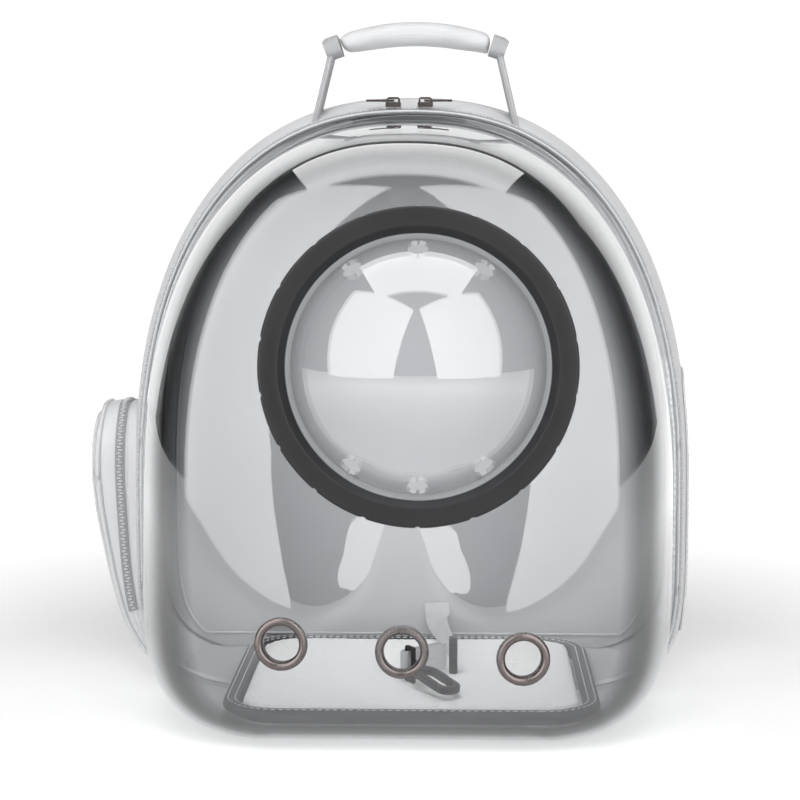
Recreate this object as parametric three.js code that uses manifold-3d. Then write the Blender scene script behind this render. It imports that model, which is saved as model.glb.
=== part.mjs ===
// Bubble pet carrier backpack: a clear front shell with a bubble window, zipped to a soft white body.
// Millimetres. Seen from the front, +X is to the right. +Y is the back panel, +Z is up, floor at z = 0.

import * as THREE from "three";
import Module from "manifold-3d";
import { mergeVertices } from "three/addons/utils/BufferGeometryUtils.js";

const wasm = await Module();
wasm.setup();

// Clearances between pieces
const seatGap = 0.3;            // between two pieces that touch
const surfaceGap = 0.6;         // between a flat piece and a curved wall under it
const cutTolerance = 0.05;      // flat places of cut solids are merged within this

// Body outline seen from the front: a round arch on a boxy base, cut flat by the floor
const bodyWidth = 327;          // across the zip line
const bodyHeight = 350;         // floor to the top of the zip line
const widestHeight = 117;       // height of the widest place
const archPower = 2.35;         // roundness of the arch
const basePower = 5.4;          // squareness of the base
const baseSink = 2;             // how much of the rounded base the floor cuts off
const outlineSteps = 48;        // facets around the outline
const roundSteps = 32;          // facets around the window's ring and bubble
const cornerCare = 55;          // mm of length that one radian of turn counts for

// Clear front shell
const shellWall = 2;
const shellDepthLow = 157;      // rim to front face at the floor
const shellDepthTop = 133;      // the same at the top, so that the face leans back
const shellDraft = 0.08;        // share that the sides draw in towards the front
const shellSidePower = 4.2;     // squareness of the side edges
const shellTopPower = 6;        // squareness of the top edge
const shellBasePower = 8;       // squareness of the bottom edge
const shellCentreHeight = 160;  // height of the middle of the front face
const flangeWidth = 4;          // lip that is sewn to the zip
const flangeEdge = 1;           // lip edge inside the zip line

// Bubble window
const windowHeight = 210;       // centre of the window above the floor
const shellTurn = 3.2;          // degrees that the window and vents sit turned in the body
const seatProud = 1.2;          // flat seat in front of the shell's face
const seatLength = 8;           // depth of the seat's side wall
const ringRadius = 84.5;        // outside of the black ring
const ringBand = 10.5;          // flat front band of the ring
const ringChamfer = 4;          // width of the sloped inner edge
const ringHeight = 9.5;         // ring in front of its seat
const ringNotches = 12;         // grip notches round the ring's edge
const notchSize = 2.4;
const domeHeight = 47;          // bubble in front of its flange
const domeWall = 2;
const domeFlange = 7;           // flange held under the ring
const domeVentRadius = 6;       // air holes in the bubble
const domeVentSpread = 34;      // degrees between neighbouring air holes
const domeVentRise = 12;        // distance of the air holes in front of the flange

// Grommet vents
const ventHeight = 59;          // centre vent above the floor
const ventSpacing = 64.5;
const ventRadius = 14.4;        // outside of the grommet
const ventHole = 9.8;           // radius of the open hole
const ventLip = 3;              // height of the domed rim
const ventNeck = 1;             // wall of the neck through the shell
const ventBack = 1.6;           // thickness of the washer behind the shell

// Zip between shell and body
const zipWidth = 8;             // along Y
const zipTapeThickness = 1.8;
const zipChainWidth = 3.4;
const zipChainHeight = 1.2;
const trimFloor = 0.7;          // trim stays this far above the floor

// Soft body
const bodyDepth = 108;          // rim plane to the back of the side band
const bandBulge = 9;            // fullness of the padded side band
const bandWall = 3;
const backPadThickness = 14;
const backPadInside = 8;        // part of the back pad that sits inside the band
const backCrown = 5;            // fullness of the back pad
const backPipe = 2.6;           // radius of the piping round the back edge
const pipeGap = 0.4;

// Side window with mesh, on the +X side
const meshLow = 34;             // height of the window's lower edge
const meshTop = 188;
const meshFront = 26;           // distance of the window's front edge behind the zip line
const meshBack = bodyDepth - 20;
const meshCorner = 14;
const meshLap = 7;              // mesh that laps over the band inside
const meshThickness = 1.2;

// Stitched lining panel inside the -X side
const liningLow = 16;
const liningTop = 178;
const liningFront = 14;
const liningBack = bodyDepth - 16;
const liningThickness = 1.2;

// Zipped pocket outside the -X side
const pocketLow = 9;
const pocketTop = 170;
const pocketFront = 20;
const pocketBack = bodyDepth - 14;
const pocketBulge = 27;         // greatest projection from the side band
const pocketWall = 1.8;
const pocketCorner = 30;        // corner radius of the pocket's outline at the top
const pocketZipShare = 0.36;    // place of the zip between the body and the cover
const pocketZipFoot = 34;       // the zip ends this far above the pocket's lower edge
const pocketZipWidth = 6;
const pocketZipThickness = 1.3;
const pocketPipe = 1.5;
const pocketRoot = 3;           // pouch wall is trimmed to the band from this far inside it

// Top handle
const handleTop = 403;          // top of the grip above the floor
const gripLength = 89;
const gripThickness = 14;
const gripWidth = 30;
const gripArch = 10;            // rise of the grip's middle over its ends
const capLength = 9;            // webbing wraps at the ends of the grip
const capExtra = 1;
const capGap = 0.6;             // between grip and wrap, which meet on a slope
const handleStrapThickness = 4;
const handleStrapWidth = 24;
const handleFoot = 60.5;        // strap foot from the middle of the handle
const handleSet = 22;           // handle behind the zip line
const handleShift = 3.4;        // handle sits a little to the +X side

// Zip sliders and pull tabs
const sliderSpacing = 19;       // between the two sliders at the top
const sliderLength = 9;
const sliderWidth = 7;
const sliderHeight = 2.6;
const bailLength = 8;
const bailWidth = 1.6;
const bailBar = 1.1;
const tabLength = 16;
const tabWidth = 7;
const tabThickness = 1.2;
const tabRail = 1.2;
const tabSlotLength = 5.6;
const tabPlay = 0.4;

// Mat
const matWidth = 218;
const matThickness = 9;
const matBorder = 9;
const matCorner = 34;
const matShift = 3;             // mat lies a little to the +X side
const matBackGap = 3;           // behind the mat, to the back pad
const matFrontGap = 58;         // in front of the mat, to the shell's face at the floor
const matSlope = 4;             // height of the sloped underside of its border
const matPile = 1;              // fleece stands over the border

// Safety tether
const tetherWidth = 16;
const tetherThickness = 1.6;
const tetherStart = 20;         // upper end of the strap above the mat
const tetherAcross = 13;        // upper end from the middle of the mat
const slideAcross = 24;         // tri-glide from the middle of the mat
const slideOut = 112;           // tri-glide in front of the back pad
const slideLength = 12;
const slideThickness = 5;
const slideRim = 2.4;
const loopAcross = 27;          // from the tri-glide to the hook's eye, sideways
const loopOut = 22;             // and towards the front
const hookLength = 36;
const hookWidth = 15;
const hookSlot = 7;             // width of the slot that a collar ring goes in
const hookMouth = 1.2;          // gap between the hook's tongue and its tip
const hookThickness = 4.5;
const hookCollar = 7;
const swivelRadius = 1.7;       // post of the swivel
const hookEyeDepth = 9.4;
const hookEyeBar = 2.6;
const swivelPlay = 0.9;         // between the eye and the hook's collar
const hookTipLift = 5.4;        // hook axis above the mat at its tip
const hookTurn = 58;            // degrees that the hook points away from +X, towards the front

// Shoulder straps
const strapSpacing = 150;       // between the middles of the straps
const strapWidth = 55;
const strapThickness = 10;
const strapTop = 302;           // height of the upper seam
const strapEnd = 112;           // height of the padded end
const strapSplay = 14;          // straps spread apart by this much on their way down
const strapBow = 46;            // strap stands this far off the back pad
const lowerWebWidth = 25;
const lowerWebThickness = 1.8;
const anchorHeight = 56;        // height of the lower seam
const anchorSize = 34;
const anchorThickness = 2.2;
const adjusterWidth = 32;
const adjusterHeight = 18;
const adjusterThickness = 5;
const adjusterBar = 3.4;

// Materials
function finish(color, roughness, metalness = 0, opacity = 1) {
  return new THREE.MeshStandardMaterial({
    color, roughness, metalness, opacity, transparent: opacity < 1,
  });
}
const clearShell = () => finish(0xb9bcc0, 0.05, 0, 0.35);
const clearBubble = () => finish(0xd2d5d8, 0.04, 0, 0.3);
const blackPlastic = () => finish(0x17181a, 0.42);
const gunmetal = () => finish(0x5d5150, 0.3, 1);
const whiteCloth = () => finish(0xecedef, 0.75);
const greyLining = () => finish(0xb4b5b8, 0.85);
const greyTape = () => finish(0xa2a4a8, 0.7);
const whiteMesh = () => finish(0xd9dadc, 0.8);
const fleece = () => finish(0xf0eeec, 0.95);
const darkBinding = () => finish(0x55565a, 0.85);
const webbing = () => finish(0xe2e3e6, 0.8);

// A named solid in the model
const backpack = new THREE.Group();
function addPiece(name, geometry, material, parent = backpack) {
  const mesh = new THREE.Mesh(geometry, material);
  mesh.name = name;
  parent.add(mesh);
  return mesh;
}

// Signed volume, used to point faces outwards
function signedVolume(positions, faces) {
  let volume = 0;
  const a = new THREE.Vector3();
  const b = new THREE.Vector3();
  const c = new THREE.Vector3();
  for (let i = 0; i < faces.length; i += 3) {
    a.fromArray(positions, faces[i] * 3);
    b.fromArray(positions, faces[i + 1] * 3);
    c.fromArray(positions, faces[i + 2] * 3);
    volume += a.dot(b.cross(c)) / 6;
  }
  return volume;
}

function solidFrom(positions, faces) {
  if (signedVolume(positions, faces) < 0) {
    for (let i = 0; i < faces.length; i += 3) {
      [faces[i], faces[i + 1]] = [faces[i + 1], faces[i]];
    }
  }
  const geometry = new THREE.BufferGeometry();
  geometry.setAttribute("position", new THREE.Float32BufferAttribute(positions, 3));
  geometry.setIndex(faces);
  return geometry;
}

// Skin over closed loops of points. With two poles the ends close on them, and without poles the
// last loop joins the first, as on a ring.
function skin(loops, startPole = null, endPole = null) {
  const count = loops[0].length;
  const positions = loops.flat().flatMap((p) => [p.x, p.y, p.z]);
  const faces = [];
  const pairs = startPole ? loops.length - 1 : loops.length;
  for (let row = 0; row < pairs; row += 1) {
    const next = (row + 1) % loops.length;
    for (let i = 0; i < count; i += 1) {
      const j = (i + 1) % count;
      const a = row * count + i;
      const b = row * count + j;
      const c = next * count + j;
      const d = next * count + i;
      faces.push(a, b, c, a, c, d);
    }
  }
  if (startPole) {
    const first = positions.length / 3;
    positions.push(startPole.x, startPole.y, startPole.z);
    positions.push(endPole.x, endPole.y, endPole.z);
    const lastRow = (loops.length - 1) * count;
    for (let i = 0; i < count; i += 1) {
      const j = (i + 1) % count;
      faces.push(first, j, i, first + 1, lastRow + i, lastRow + j);
    }
  }
  return solidFrom(positions, faces);
}

function middleOf(loop) {
  const sum = loop.reduce((total, p) => total.add(p), new THREE.Vector3());
  return sum.divideScalar(loop.length);
}

function skinWithEnds(loops) {
  return skin(loops, middleOf(loops[0]), middleOf(loops[loops.length - 1]));
}

// Solids for joining and cutting
function toManifold(geometry) {
  let plain = geometry.clone();
  plain.deleteAttribute("normal");
  plain.deleteAttribute("uv");
  plain = mergeVertices(plain, 1e-4);
  return new wasm.Manifold(new wasm.Mesh({
    numProp: 3,
    vertProperties: new Float32Array(plain.attributes.position.array),
    triVerts: new Uint32Array(plain.index.array),
  }));
}

function toGeometry(manifold) {
  const mesh = manifold.getMesh();
  const geometry = new THREE.BufferGeometry();
  geometry.setAttribute("position", new THREE.Float32BufferAttribute(mesh.vertProperties, 3));
  geometry.setIndex(Array.from(mesh.triVerts));
  return geometry;
}

function cutFrom(geometry, cutters) {
  const cut = cutters.reduce((body, cutter) => body.subtract(toManifold(cutter)), toManifold(geometry));
  return toGeometry(cut.simplify(cutTolerance));
}

function joined(geometries) {
  return toGeometry(geometries.map(toManifold).reduce((body, next) => body.add(next)));
}

// Outline points spread evenly by length and turn, starting at the bottom middle
function spread(fine, steps) {
  const measure = [0];
  for (let i = 1; i < fine.length; i += 1) {
    const step = fine[i].clone().sub(fine[i - 1]);
    const before = fine[(i + fine.length - 2) % (fine.length - 1)];
    const last = fine[i - 1].clone().sub(before);
    const turn = step.length() > 1e-6 && last.length() > 1e-6 ? last.angleTo(step) : 0;
    measure.push(measure[i - 1] + step.length() + cornerCare * Math.abs(turn));
  }
  const total = measure[measure.length - 1];
  const points = [];
  let at = 1;
  for (let k = 0; k < steps; k += 1) {
    const wanted = (total * k) / steps;
    while (measure[at] < wanted) at += 1;
    const span = measure[at] - measure[at - 1];
    const share = span > 0 ? (wanted - measure[at - 1]) / span : 0;
    points.push(fine[at - 1].clone().lerp(fine[at], share));
  }
  return points;
}

// Below its widest place the outline only grows outwards, so that every ring has the same flat base
function baseReach(grow) {
  return widestHeight + baseSink + Math.max(grow, 0);
}

// Outline of the body grown outwards by grow, and cut flat at the height floor
function outline(grow, floor = 0) {
  const fine = [];
  const fineSteps = 1440;
  for (let k = 0; k <= fineSteps; k += 1) {
    const angle = -Math.PI / 2 + (2 * Math.PI * k) / fineSteps;
    const across = Math.cos(angle);
    const along = Math.sin(angle);
    const power = along >= 0 ? archPower : basePower;
    const reach = along >= 0 ? bodyHeight - widestHeight + grow : baseReach(grow);
    const x = (bodyWidth / 2 + grow) * Math.sign(across) * Math.abs(across) ** (2 / power);
    const z = widestHeight + reach * Math.sign(along) * Math.abs(along) ** (2 / power);
    fine.push(new THREE.Vector2(x, Math.max(z, floor)));
  }
  fine[0].x = 0;
  fine[fineSteps].x = 0;
  return spread(fine, outlineSteps);
}

// Half width of the faceted outline at a height
const outlineStore = new Map();
function halfWidthAt(z, grow) {
  if (!outlineStore.has(grow)) outlineStore.set(grow, outline(grow));
  const points = outlineStore.get(grow);
  for (let i = 0; i < outlineSteps / 2; i += 1) {
    const low = points[i];
    const high = points[i + 1];
    if (z >= low.y && z <= high.y && high.y > low.y) {
      return low.x + ((high.x - low.x) * (z - low.y)) / (high.y - low.y);
    }
  }
  return 0;
}

function topAt(x, grow) {
  const share = Math.min(Math.abs(x) / (bodyWidth / 2 + grow), 1);
  return widestHeight + (bodyHeight - widestHeight + grow) * (1 - share ** archPower) ** (1 / archPower);
}

// Ring round the body, from rows of distance behind the zip line and growth of the outline
function bandRing(rows) {
  return skin(rows.map(({ y, grow, floor }) => (
    outline(grow, floor).map((p) => new THREE.Vector3(p.x, y, p.y))
  )));
}

// Front shell surface: each loop is the rim outline drawn in by its share of the depth
function drawIn(share, power) {
  return (1 - share ** power) ** (1 / power);
}

function shellDepthAt(z, wall) {
  return shellDepthLow + ((shellDepthTop - shellDepthLow) * z) / bodyHeight - wall;
}

function shellLoop(share, wall) {
  const side = drawIn(share, shellSidePower) * (1 - shellDraft * share);
  const top = drawIn(share, shellTopPower) * (1 - shellDraft * share);
  const base = drawIn(share, shellBasePower);
  return outline(-flangeWidth - flangeEdge - wall, wall).map((p) => {
    const fromCentre = p.y - shellCentreHeight;
    const z = shellCentreHeight + fromCentre * (fromCentre > 0 ? top : base);
    return new THREE.Vector3(p.x * side, -shellDepthAt(z, wall) * share, z);
  });
}

function shellPole(wall) {
  return new THREE.Vector3(0, -shellDepthAt(shellCentreHeight, wall), shellCentreHeight);
}

// Distance of the shell's outer face in front of the rim, at a place seen from the front
function shellFaceAt(x, z) {
  const grow = -flangeWidth - flangeEdge;
  let low = 0;
  let high = 1;
  for (let k = 0; k < 40; k += 1) {
    const share = (low + high) / 2;
    const above = z > shellCentreHeight;
    const draft = 1 - shellDraft * share;
    const side = drawIn(share, shellSidePower) * draft;
    const lift = above ? drawIn(share, shellTopPower) * draft : drawIn(share, shellBasePower);
    const rimZ = shellCentreHeight + (z - shellCentreHeight) / Math.max(lift, 1e-6);
    const across = Math.abs(x) / Math.max(side, 1e-6);
    const inside = rimZ < bodyHeight + grow && rimZ > 0 && across < halfWidthAt(rimZ, grow);
    if (inside) low = share;
    else high = share;
  }
  return shellDepthAt(z, 0) * low;
}

function shellNormalAt(x, z) {
  const reach = 6;
  const across = (shellFaceAt(x + reach, z) - shellFaceAt(x - reach, z)) / (2 * reach);
  const along = (shellFaceAt(x, z + reach) - shellFaceAt(x, z - reach)) / (2 * reach);
  return new THREE.Vector3(-across, -1, -along).normalize();
}

// A group whose +Z points along a direction, for turned pieces on the shell
const upright = new THREE.Vector3(0, 0, 1);
function turnedPlace(position, direction) {
  const turn = new THREE.Quaternion().setFromUnitVectors(upright, direction);
  return new THREE.Matrix4().compose(position, turn, new THREE.Vector3(1, 1, 1));
}

function latheAlongZ(profile, steps) {
  const points = profile.map(([r, h]) => new THREE.Vector2(r, h));
  return new THREE.LatheGeometry(points, steps).rotateX(Math.PI / 2);
}

function cylinderAlongZ(radius, low, high, steps) {
  const length = high - low;
  return new THREE.CylinderGeometry(radius, radius, length, steps).rotateX(Math.PI / 2)
    .translate(0, 0, (low + high) / 2);
}

// Where the window and the vents sit, turned a little about the middle vent
const turnAngle = THREE.MathUtils.degToRad(shellTurn);
const windowX = (windowHeight - ventHeight) * Math.sin(turnAngle);
const faceLean = Math.atan((shellDepthLow - shellDepthTop) / bodyHeight);
const windowAxis = new THREE.Vector3(0, -Math.cos(faceLean), Math.sin(faceLean));
const windowSeat = new THREE.Vector3(windowX, -shellFaceAt(windowX, windowHeight), windowHeight)
  .addScaledVector(windowAxis, seatProud);
const windowPlace = turnedPlace(windowSeat, windowAxis);
const openingRadius = ringRadius - ringBand - ringChamfer;

const ventPlaces = [-1, 0, 1].map((step) => {
  const x = step * ventSpacing * Math.cos(turnAngle);
  const z = ventHeight - step * ventSpacing * Math.sin(turnAngle);
  return turnedPlace(new THREE.Vector3(x, -shellFaceAt(x, z), z), shellNormalAt(x, z));
});

// Clear front shell with its sewing lip, window seat, window hole and vent holes
function frontShell() {
  const shares = [0.994, 0.965, 0.89, 0.73, 0.4];
  const lipRim = (grow, y, floor) => outline(grow, floor).map((p) => new THREE.Vector3(p.x, y, p.y));
  const rootGrow = -flangeWidth - flangeEdge;
  const loops = [
    ...shares.map((share) => shellLoop(share, 0)),
    lipRim(rootGrow, -shellWall, 0),
    lipRim(-flangeEdge, -shellWall, 0),
    lipRim(-flangeEdge, 0, 0),
    lipRim(rootGrow - shellWall, 0, shellWall),
    ...shares.map((share) => shellLoop(share, shellWall)).reverse(),
  ];
  const dish = skin(loops, shellPole(0), shellPole(shellWall));
  const farInside = 60;
  const seat = cylinderAlongZ(ringRadius - seatGap, -seatLength, 0, roundSteps).applyMatrix4(windowPlace);
  const hollow = cylinderAlongZ(ringRadius - seatGap - shellWall, -farInside, -shellWall, roundSteps)
    .applyMatrix4(windowPlace);
  const hole = cylinderAlongZ(openingRadius, -farInside, farInside, roundSteps).applyMatrix4(windowPlace);
  const ventFlat = ventRadius + seatGap;
  const ventSteps = 14;
  const nearInside = seatLength * 2;
  const ventParts = ventPlaces.map((place) => ({
    disc: cylinderAlongZ(ventFlat, -shellWall, 0, ventSteps).applyMatrix4(place),
    front: cylinderAlongZ(ventFlat - seatGap / 2, 0, nearInside, ventSteps).applyMatrix4(place),
    behind: cylinderAlongZ(ventFlat - seatGap / 2, -nearInside, -shellWall, ventSteps).applyMatrix4(place),
    hole: cylinderAlongZ(ventHole + ventNeck + seatGap, -nearInside, nearInside, ventSteps).applyMatrix4(place),
  }));
  const cutters = ventParts.flatMap(({ front, behind, hole: round }) => [front, behind, round]);
  return cutFrom(joined([dish, seat, ...ventParts.map(({ disc }) => disc)]), [hollow, hole, ...cutters]);
}
addPiece("front_shell", frontShell(), clearShell());

// Bubble: a round cap on a flat flange, with air holes above and below
function bubbleDome() {
  const base = openingRadius - seatGap - domeWall;
  const sphere = (base ** 2 + domeHeight ** 2) / (2 * domeHeight);
  const sweep = Math.asin(Math.min(base / sphere, 1));
  const rimAngle = domeHeight > sphere ? Math.PI - sweep : sweep;
  const arcSteps = 6;
  const arc = (radius) => Array.from({ length: arcSteps + 1 }, (_, k) => {
    const angle = (rimAngle * (arcSteps - k)) / arcSteps;
    const r = k === arcSteps ? 0 : radius * Math.sin(angle);
    return [r, seatGap + domeHeight - sphere + radius * Math.cos(angle)];
  });
  const outer = arc(sphere + domeWall).map(([r, h]) => [r, Math.max(h, seatGap + domeWall)]);
  const inner = arc(sphere).map(([r, h]) => [r, Math.max(h, seatGap)]).reverse();
  const flangeOut = openingRadius + domeFlange;
  const profile = [
    [flangeOut, seatGap], [flangeOut, seatGap + domeWall], ...outer, ...inner, [flangeOut, seatGap],
  ];
  const cap = latheAlongZ(profile, roundSteps);
  const ventTurns = [90, 270].flatMap((middle) => [-1, 0, 1].map((step) => middle + step * domeVentSpread));
  const cutters = ventTurns.map((degrees) => {
    const turn = THREE.MathUtils.degToRad(degrees);
    const drill = cylinderAlongZ(domeVentRadius, base / 2, sphere * 1.4, 8);
    const lie = new THREE.Matrix4().makeRotationY(Math.PI / 2);
    const around = new THREE.Matrix4().makeRotationZ(turn);
    return drill.applyMatrix4(lie).translate(0, 0, seatGap + domeWall + domeVentRise).applyMatrix4(around);
  });
  return cutFrom(cap, cutters).applyMatrix4(windowPlace);
}
addPiece("bubble_dome", bubbleDome(), clearBubble());

// Black ring that holds the bubble on the shell, with notches round its edge
function bubbleRing() {
  const round = ringBand / 5;
  const clampAt = openingRadius + domeFlange + seatGap;
  const clampHeight = seatGap + domeWall + seatGap;
  const inner = openingRadius + seatGap;
  const profile = [
    [clampAt, seatGap], [ringRadius, seatGap], [ringRadius, ringHeight - round],
    [ringRadius - round * 0.3, ringHeight - round * 0.3], [ringRadius - round, ringHeight],
    [ringRadius - ringBand, ringHeight], [inner, clampHeight + ringHeight / 4], [inner, clampHeight],
    [clampAt, clampHeight], [clampAt, seatGap],
  ];
  const ring = latheAlongZ(profile, roundSteps);
  const cutters = Array.from({ length: ringNotches }, (_, k) => {
    const angle = (2 * Math.PI * (k + 0.5)) / ringNotches;
    return new THREE.BoxGeometry(notchSize, notchSize, ringHeight)
      .translate(ringRadius, 0, ringHeight / 2 + seatGap * 4)
      .applyMatrix4(new THREE.Matrix4().makeRotationZ(angle));
  });
  return cutFrom(ring, cutters).applyMatrix4(windowPlace);
}
addPiece("bubble_ring", bubbleRing(), blackPlastic());

// Metal grommets through the shell
function grommet(place) {
  const neck = ventHole + ventNeck;
  const behind = -shellWall - seatGap;
  const profile = [
    [neck, seatGap], [ventRadius, seatGap], [ventRadius - ventLip * 0.2, seatGap + ventLip * 0.6],
    [(ventRadius + ventHole) / 2, seatGap + ventLip], [ventHole, seatGap + ventLip * 0.4],
    [ventHole, behind - ventBack], [ventRadius - ventNeck, behind - ventBack], [ventRadius - ventNeck, behind],
    [neck, behind], [neck, seatGap],
  ];
  return latheAlongZ(profile, 16).applyMatrix4(place);
}
["vent_grommet_left", "vent_grommet_middle", "vent_grommet_right"].forEach((name, index) => {
  addPiece(name, grommet(ventPlaces[index]), gunmetal());
});

// Zip between the shell's lip and the soft body
const zipFront = seatGap;
const zipBack = zipFront + zipWidth;
function zipTape() {
  const rows = [
    { y: zipFront, grow: 0 }, { y: zipBack, grow: 0 },
    { y: zipBack, grow: -zipTapeThickness }, { y: zipFront, grow: -zipTapeThickness },
  ];
  return bandRing(rows.map((row) => ({ ...row, floor: trimFloor - row.grow })));
}
addPiece("zip_tape", zipTape(), greyTape());

function zipChain() {
  const middle = (zipFront + zipBack) / 2;
  const low = seatGap;
  const rows = [
    { y: middle - zipChainWidth / 2, grow: low }, { y: middle - zipChainWidth / 3, grow: low + zipChainHeight },
    { y: middle + zipChainWidth / 3, grow: low + zipChainHeight }, { y: middle + zipChainWidth / 2, grow: low },
  ];
  // Under the bag the chain is pressed flat into the tape's place, so it ends at the base corners
  const ring = bandRing(rows.map((row) => ({ ...row, floor: trimFloor })));
  const chainFoot = trimFloor + zipTapeThickness + 2 * seatGap + zipChainHeight;
  const bottom = new THREE.BoxGeometry(bodyWidth * 2, bodyDepth, bodyHeight)
    .translate(0, middle, chainFoot - bodyHeight / 2);
  return cutFrom(ring, [bottom]);
}
addPiece("zip_chain", zipChain(), greyTape());

// Padded side band: a full, soft ring with a window on the +X side
const bandFront = zipBack + seatGap;
const bandRows = [
  { at: 0, fullness: 0.05 }, { at: 0.12, fullness: 0.6 }, { at: 0.42, fullness: 1 },
  { at: 0.78, fullness: 0.85 }, { at: 1, fullness: 0.35 },
];
function bandGrowAt(y) {
  const share = Math.min(Math.max((y - bandFront) / (bodyDepth - bandFront), 0), 1);
  const next = Math.max(bandRows.findIndex((row) => row.at >= share), 1);
  const a = bandRows[next - 1];
  const b = bandRows[next];
  return bandBulge * (a.fullness + ((b.fullness - a.fullness) * (share - a.at)) / (b.at - a.at));
}

// Rounded rectangle in a plane, as a loop of points
function roundedRect(width, height, radius, cornerSteps = 4) {
  const r = Math.min(radius, width / 2 - 0.01, height / 2 - 0.01);
  const points = [];
  const corners = [[1, -1, -90], [1, 1, 0], [-1, 1, 90], [-1, -1, 180]];
  for (const [sideways, upwards, start] of corners) {
    for (let k = 0; k <= cornerSteps; k += 1) {
      const angle = THREE.MathUtils.degToRad(start + (90 * k) / cornerSteps);
      points.push(new THREE.Vector2(
        sideways * (width / 2 - r) + r * Math.cos(angle), upwards * (height / 2 - r) + r * Math.sin(angle)));
    }
  }
  return points;
}

function sideBand() {
  const outer = bandRows.map((row) => ({
    y: bandFront + (bodyDepth - bandFront) * row.at, grow: bandBulge * row.fullness, floor: 0,
  }));
  const inner = outer.map((row) => ({ y: row.y, grow: row.grow - bandWall, floor: bandWall })).reverse();
  const ring = bandRing([...outer, ...inner]);
  const shape = new THREE.Shape(roundedRect(meshBack - meshFront, meshTop - meshLow, meshCorner));
  const cutter = new THREE.ExtrudeGeometry(shape, { depth: bodyWidth / 2, bevelEnabled: false });
  const stand = new THREE.Matrix4().makeBasis(
    new THREE.Vector3(0, 1, 0), new THREE.Vector3(0, 0, 1), new THREE.Vector3(1, 0, 0));
  cutter.applyMatrix4(stand).translate(bodyWidth / 4, (meshFront + meshBack) / 2, (meshLow + meshTop) / 2);
  return cutFrom(ring, [cutter]);
}
addPiece("side_band", sideBand(), whiteCloth());

// The band without its hollow, grown by a gap, which trims what sits against it
function filledBand(gap) {
  const loops = bandRows.map((row) => outline(bandBulge * row.fullness + gap).map((p) => (
    new THREE.Vector3(p.x, bandFront + (bodyDepth - bandFront) * row.at, p.y))));
  return skinWithEnds(loops);
}

// A thin panel that follows the band's inside, from an outline in the YZ plane
function wallPanel(side, middleY, middleZ, loop, thickness) {
  const shares = [1, 0.75, 0.4];
  const place = (p, share, depth) => {
    const y = middleY + p.x * share;
    const z = middleZ + p.y * share;
    const x = halfWidthAt(z, bandGrowAt(y) - bandWall) - surfaceGap - depth;
    return new THREE.Vector3(side * x, y, z);
  };
  const sheet = (depth) => shares.map((share) => loop.map((p) => place(p, share, depth)));
  const centre = new THREE.Vector2(0, 0);
  return skin([...sheet(0).reverse(), ...sheet(thickness)], place(centre, 0, 0), place(centre, 0, thickness));
}

const meshLoop = roundedRect(
  meshBack - meshFront + 2 * meshLap, meshTop - meshLow + 2 * meshLap, meshCorner + meshLap);
addPiece("side_mesh", wallPanel(
  1, (meshFront + meshBack) / 2, (meshLow + meshTop) / 2, meshLoop, meshThickness), whiteMesh());

// Outline with a flat bottom and round top corners. Its side points lie closer together near the
// bottom, where the body under it turns most.
function archedLoop(width, height, topRadius, sidePoints) {
  const points = [];
  const bottomPoints = 3;
  const arcSteps = 5;
  const quarter = Math.PI / 2;
  const right = width / 2;
  const low = -height / 2;
  const radius = Math.min(topRadius, right);
  const sideHeight = (k) => low + (height - radius) * (k / sidePoints) ** 1.5;
  const arcPoint = (side, angle) => [
    side * (right - radius) + radius * Math.cos(angle), -low - radius + radius * Math.sin(angle)];
  for (let k = 0; k < bottomPoints; k += 1) points.push([-right + (width * k) / bottomPoints, low]);
  for (let k = 0; k < sidePoints; k += 1) points.push([right, sideHeight(k)]);
  for (let k = 0; k <= arcSteps; k += 1) points.push(arcPoint(1, (quarter / arcSteps) * k));
  const first = radius < right ? 0 : 1;
  for (let k = first; k <= arcSteps; k += 1) points.push(arcPoint(-1, quarter + (quarter / arcSteps) * k));
  for (let k = sidePoints - 1; k > 0; k -= 1) points.push([-right, sideHeight(k)]);
  return points.map(([x, y]) => new THREE.Vector2(x, y));
}

const liningWidth = liningBack - liningFront;
const liningLoop = archedLoop(liningWidth, liningTop - liningLow, liningWidth / 2, 5);
addPiece("side_lining", wallPanel(
  -1, (liningFront + liningBack) / 2, (liningLow + liningTop) / 2, liningLoop, liningThickness), greyLining());

// Padded back panel, plugged into the band, with a crowned outside
const backGrow = bandGrowAt(bodyDepth) - bandWall - seatGap;
const backInside = bodyDepth - backPadInside;
const backOutside = backInside + backPadThickness;
function backPanel() {
  const loopAt = (y, shrink, grow, floor) => outline(grow, floor).map((p) => new THREE.Vector3(
    p.x * shrink, y, shellCentreHeight + (p.y - shellCentreHeight) * shrink));
  const floor = bandWall + seatGap;
  const pipeRoom = backPipe * 2 + pipeGap;
  const insideShare = 0.5;
  const crownShares = [0.84, 0.4];
  const loops = [
    loopAt(backInside, insideShare, backGrow, floor), loopAt(backInside, 1, backGrow, floor),
    loopAt(bodyDepth, 1, backGrow, floor), loopAt(bodyDepth, 1, backGrow - pipeRoom, floor + pipeRoom),
    loopAt(backOutside, 1, backGrow - pipeRoom - backCrown / 2, floor + pipeRoom + backCrown / 2),
    ...crownShares.map((share) => (
      loopAt(backOutside + backCrown, share, backGrow - pipeRoom, floor + pipeRoom))),
  ];
  return skin(loops, new THREE.Vector3(0, backInside, shellCentreHeight),
    new THREE.Vector3(0, backOutside + backCrown, shellCentreHeight));
}
addPiece("back_panel", backPanel(), whiteCloth());
const backFace = backOutside + backCrown;

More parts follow.
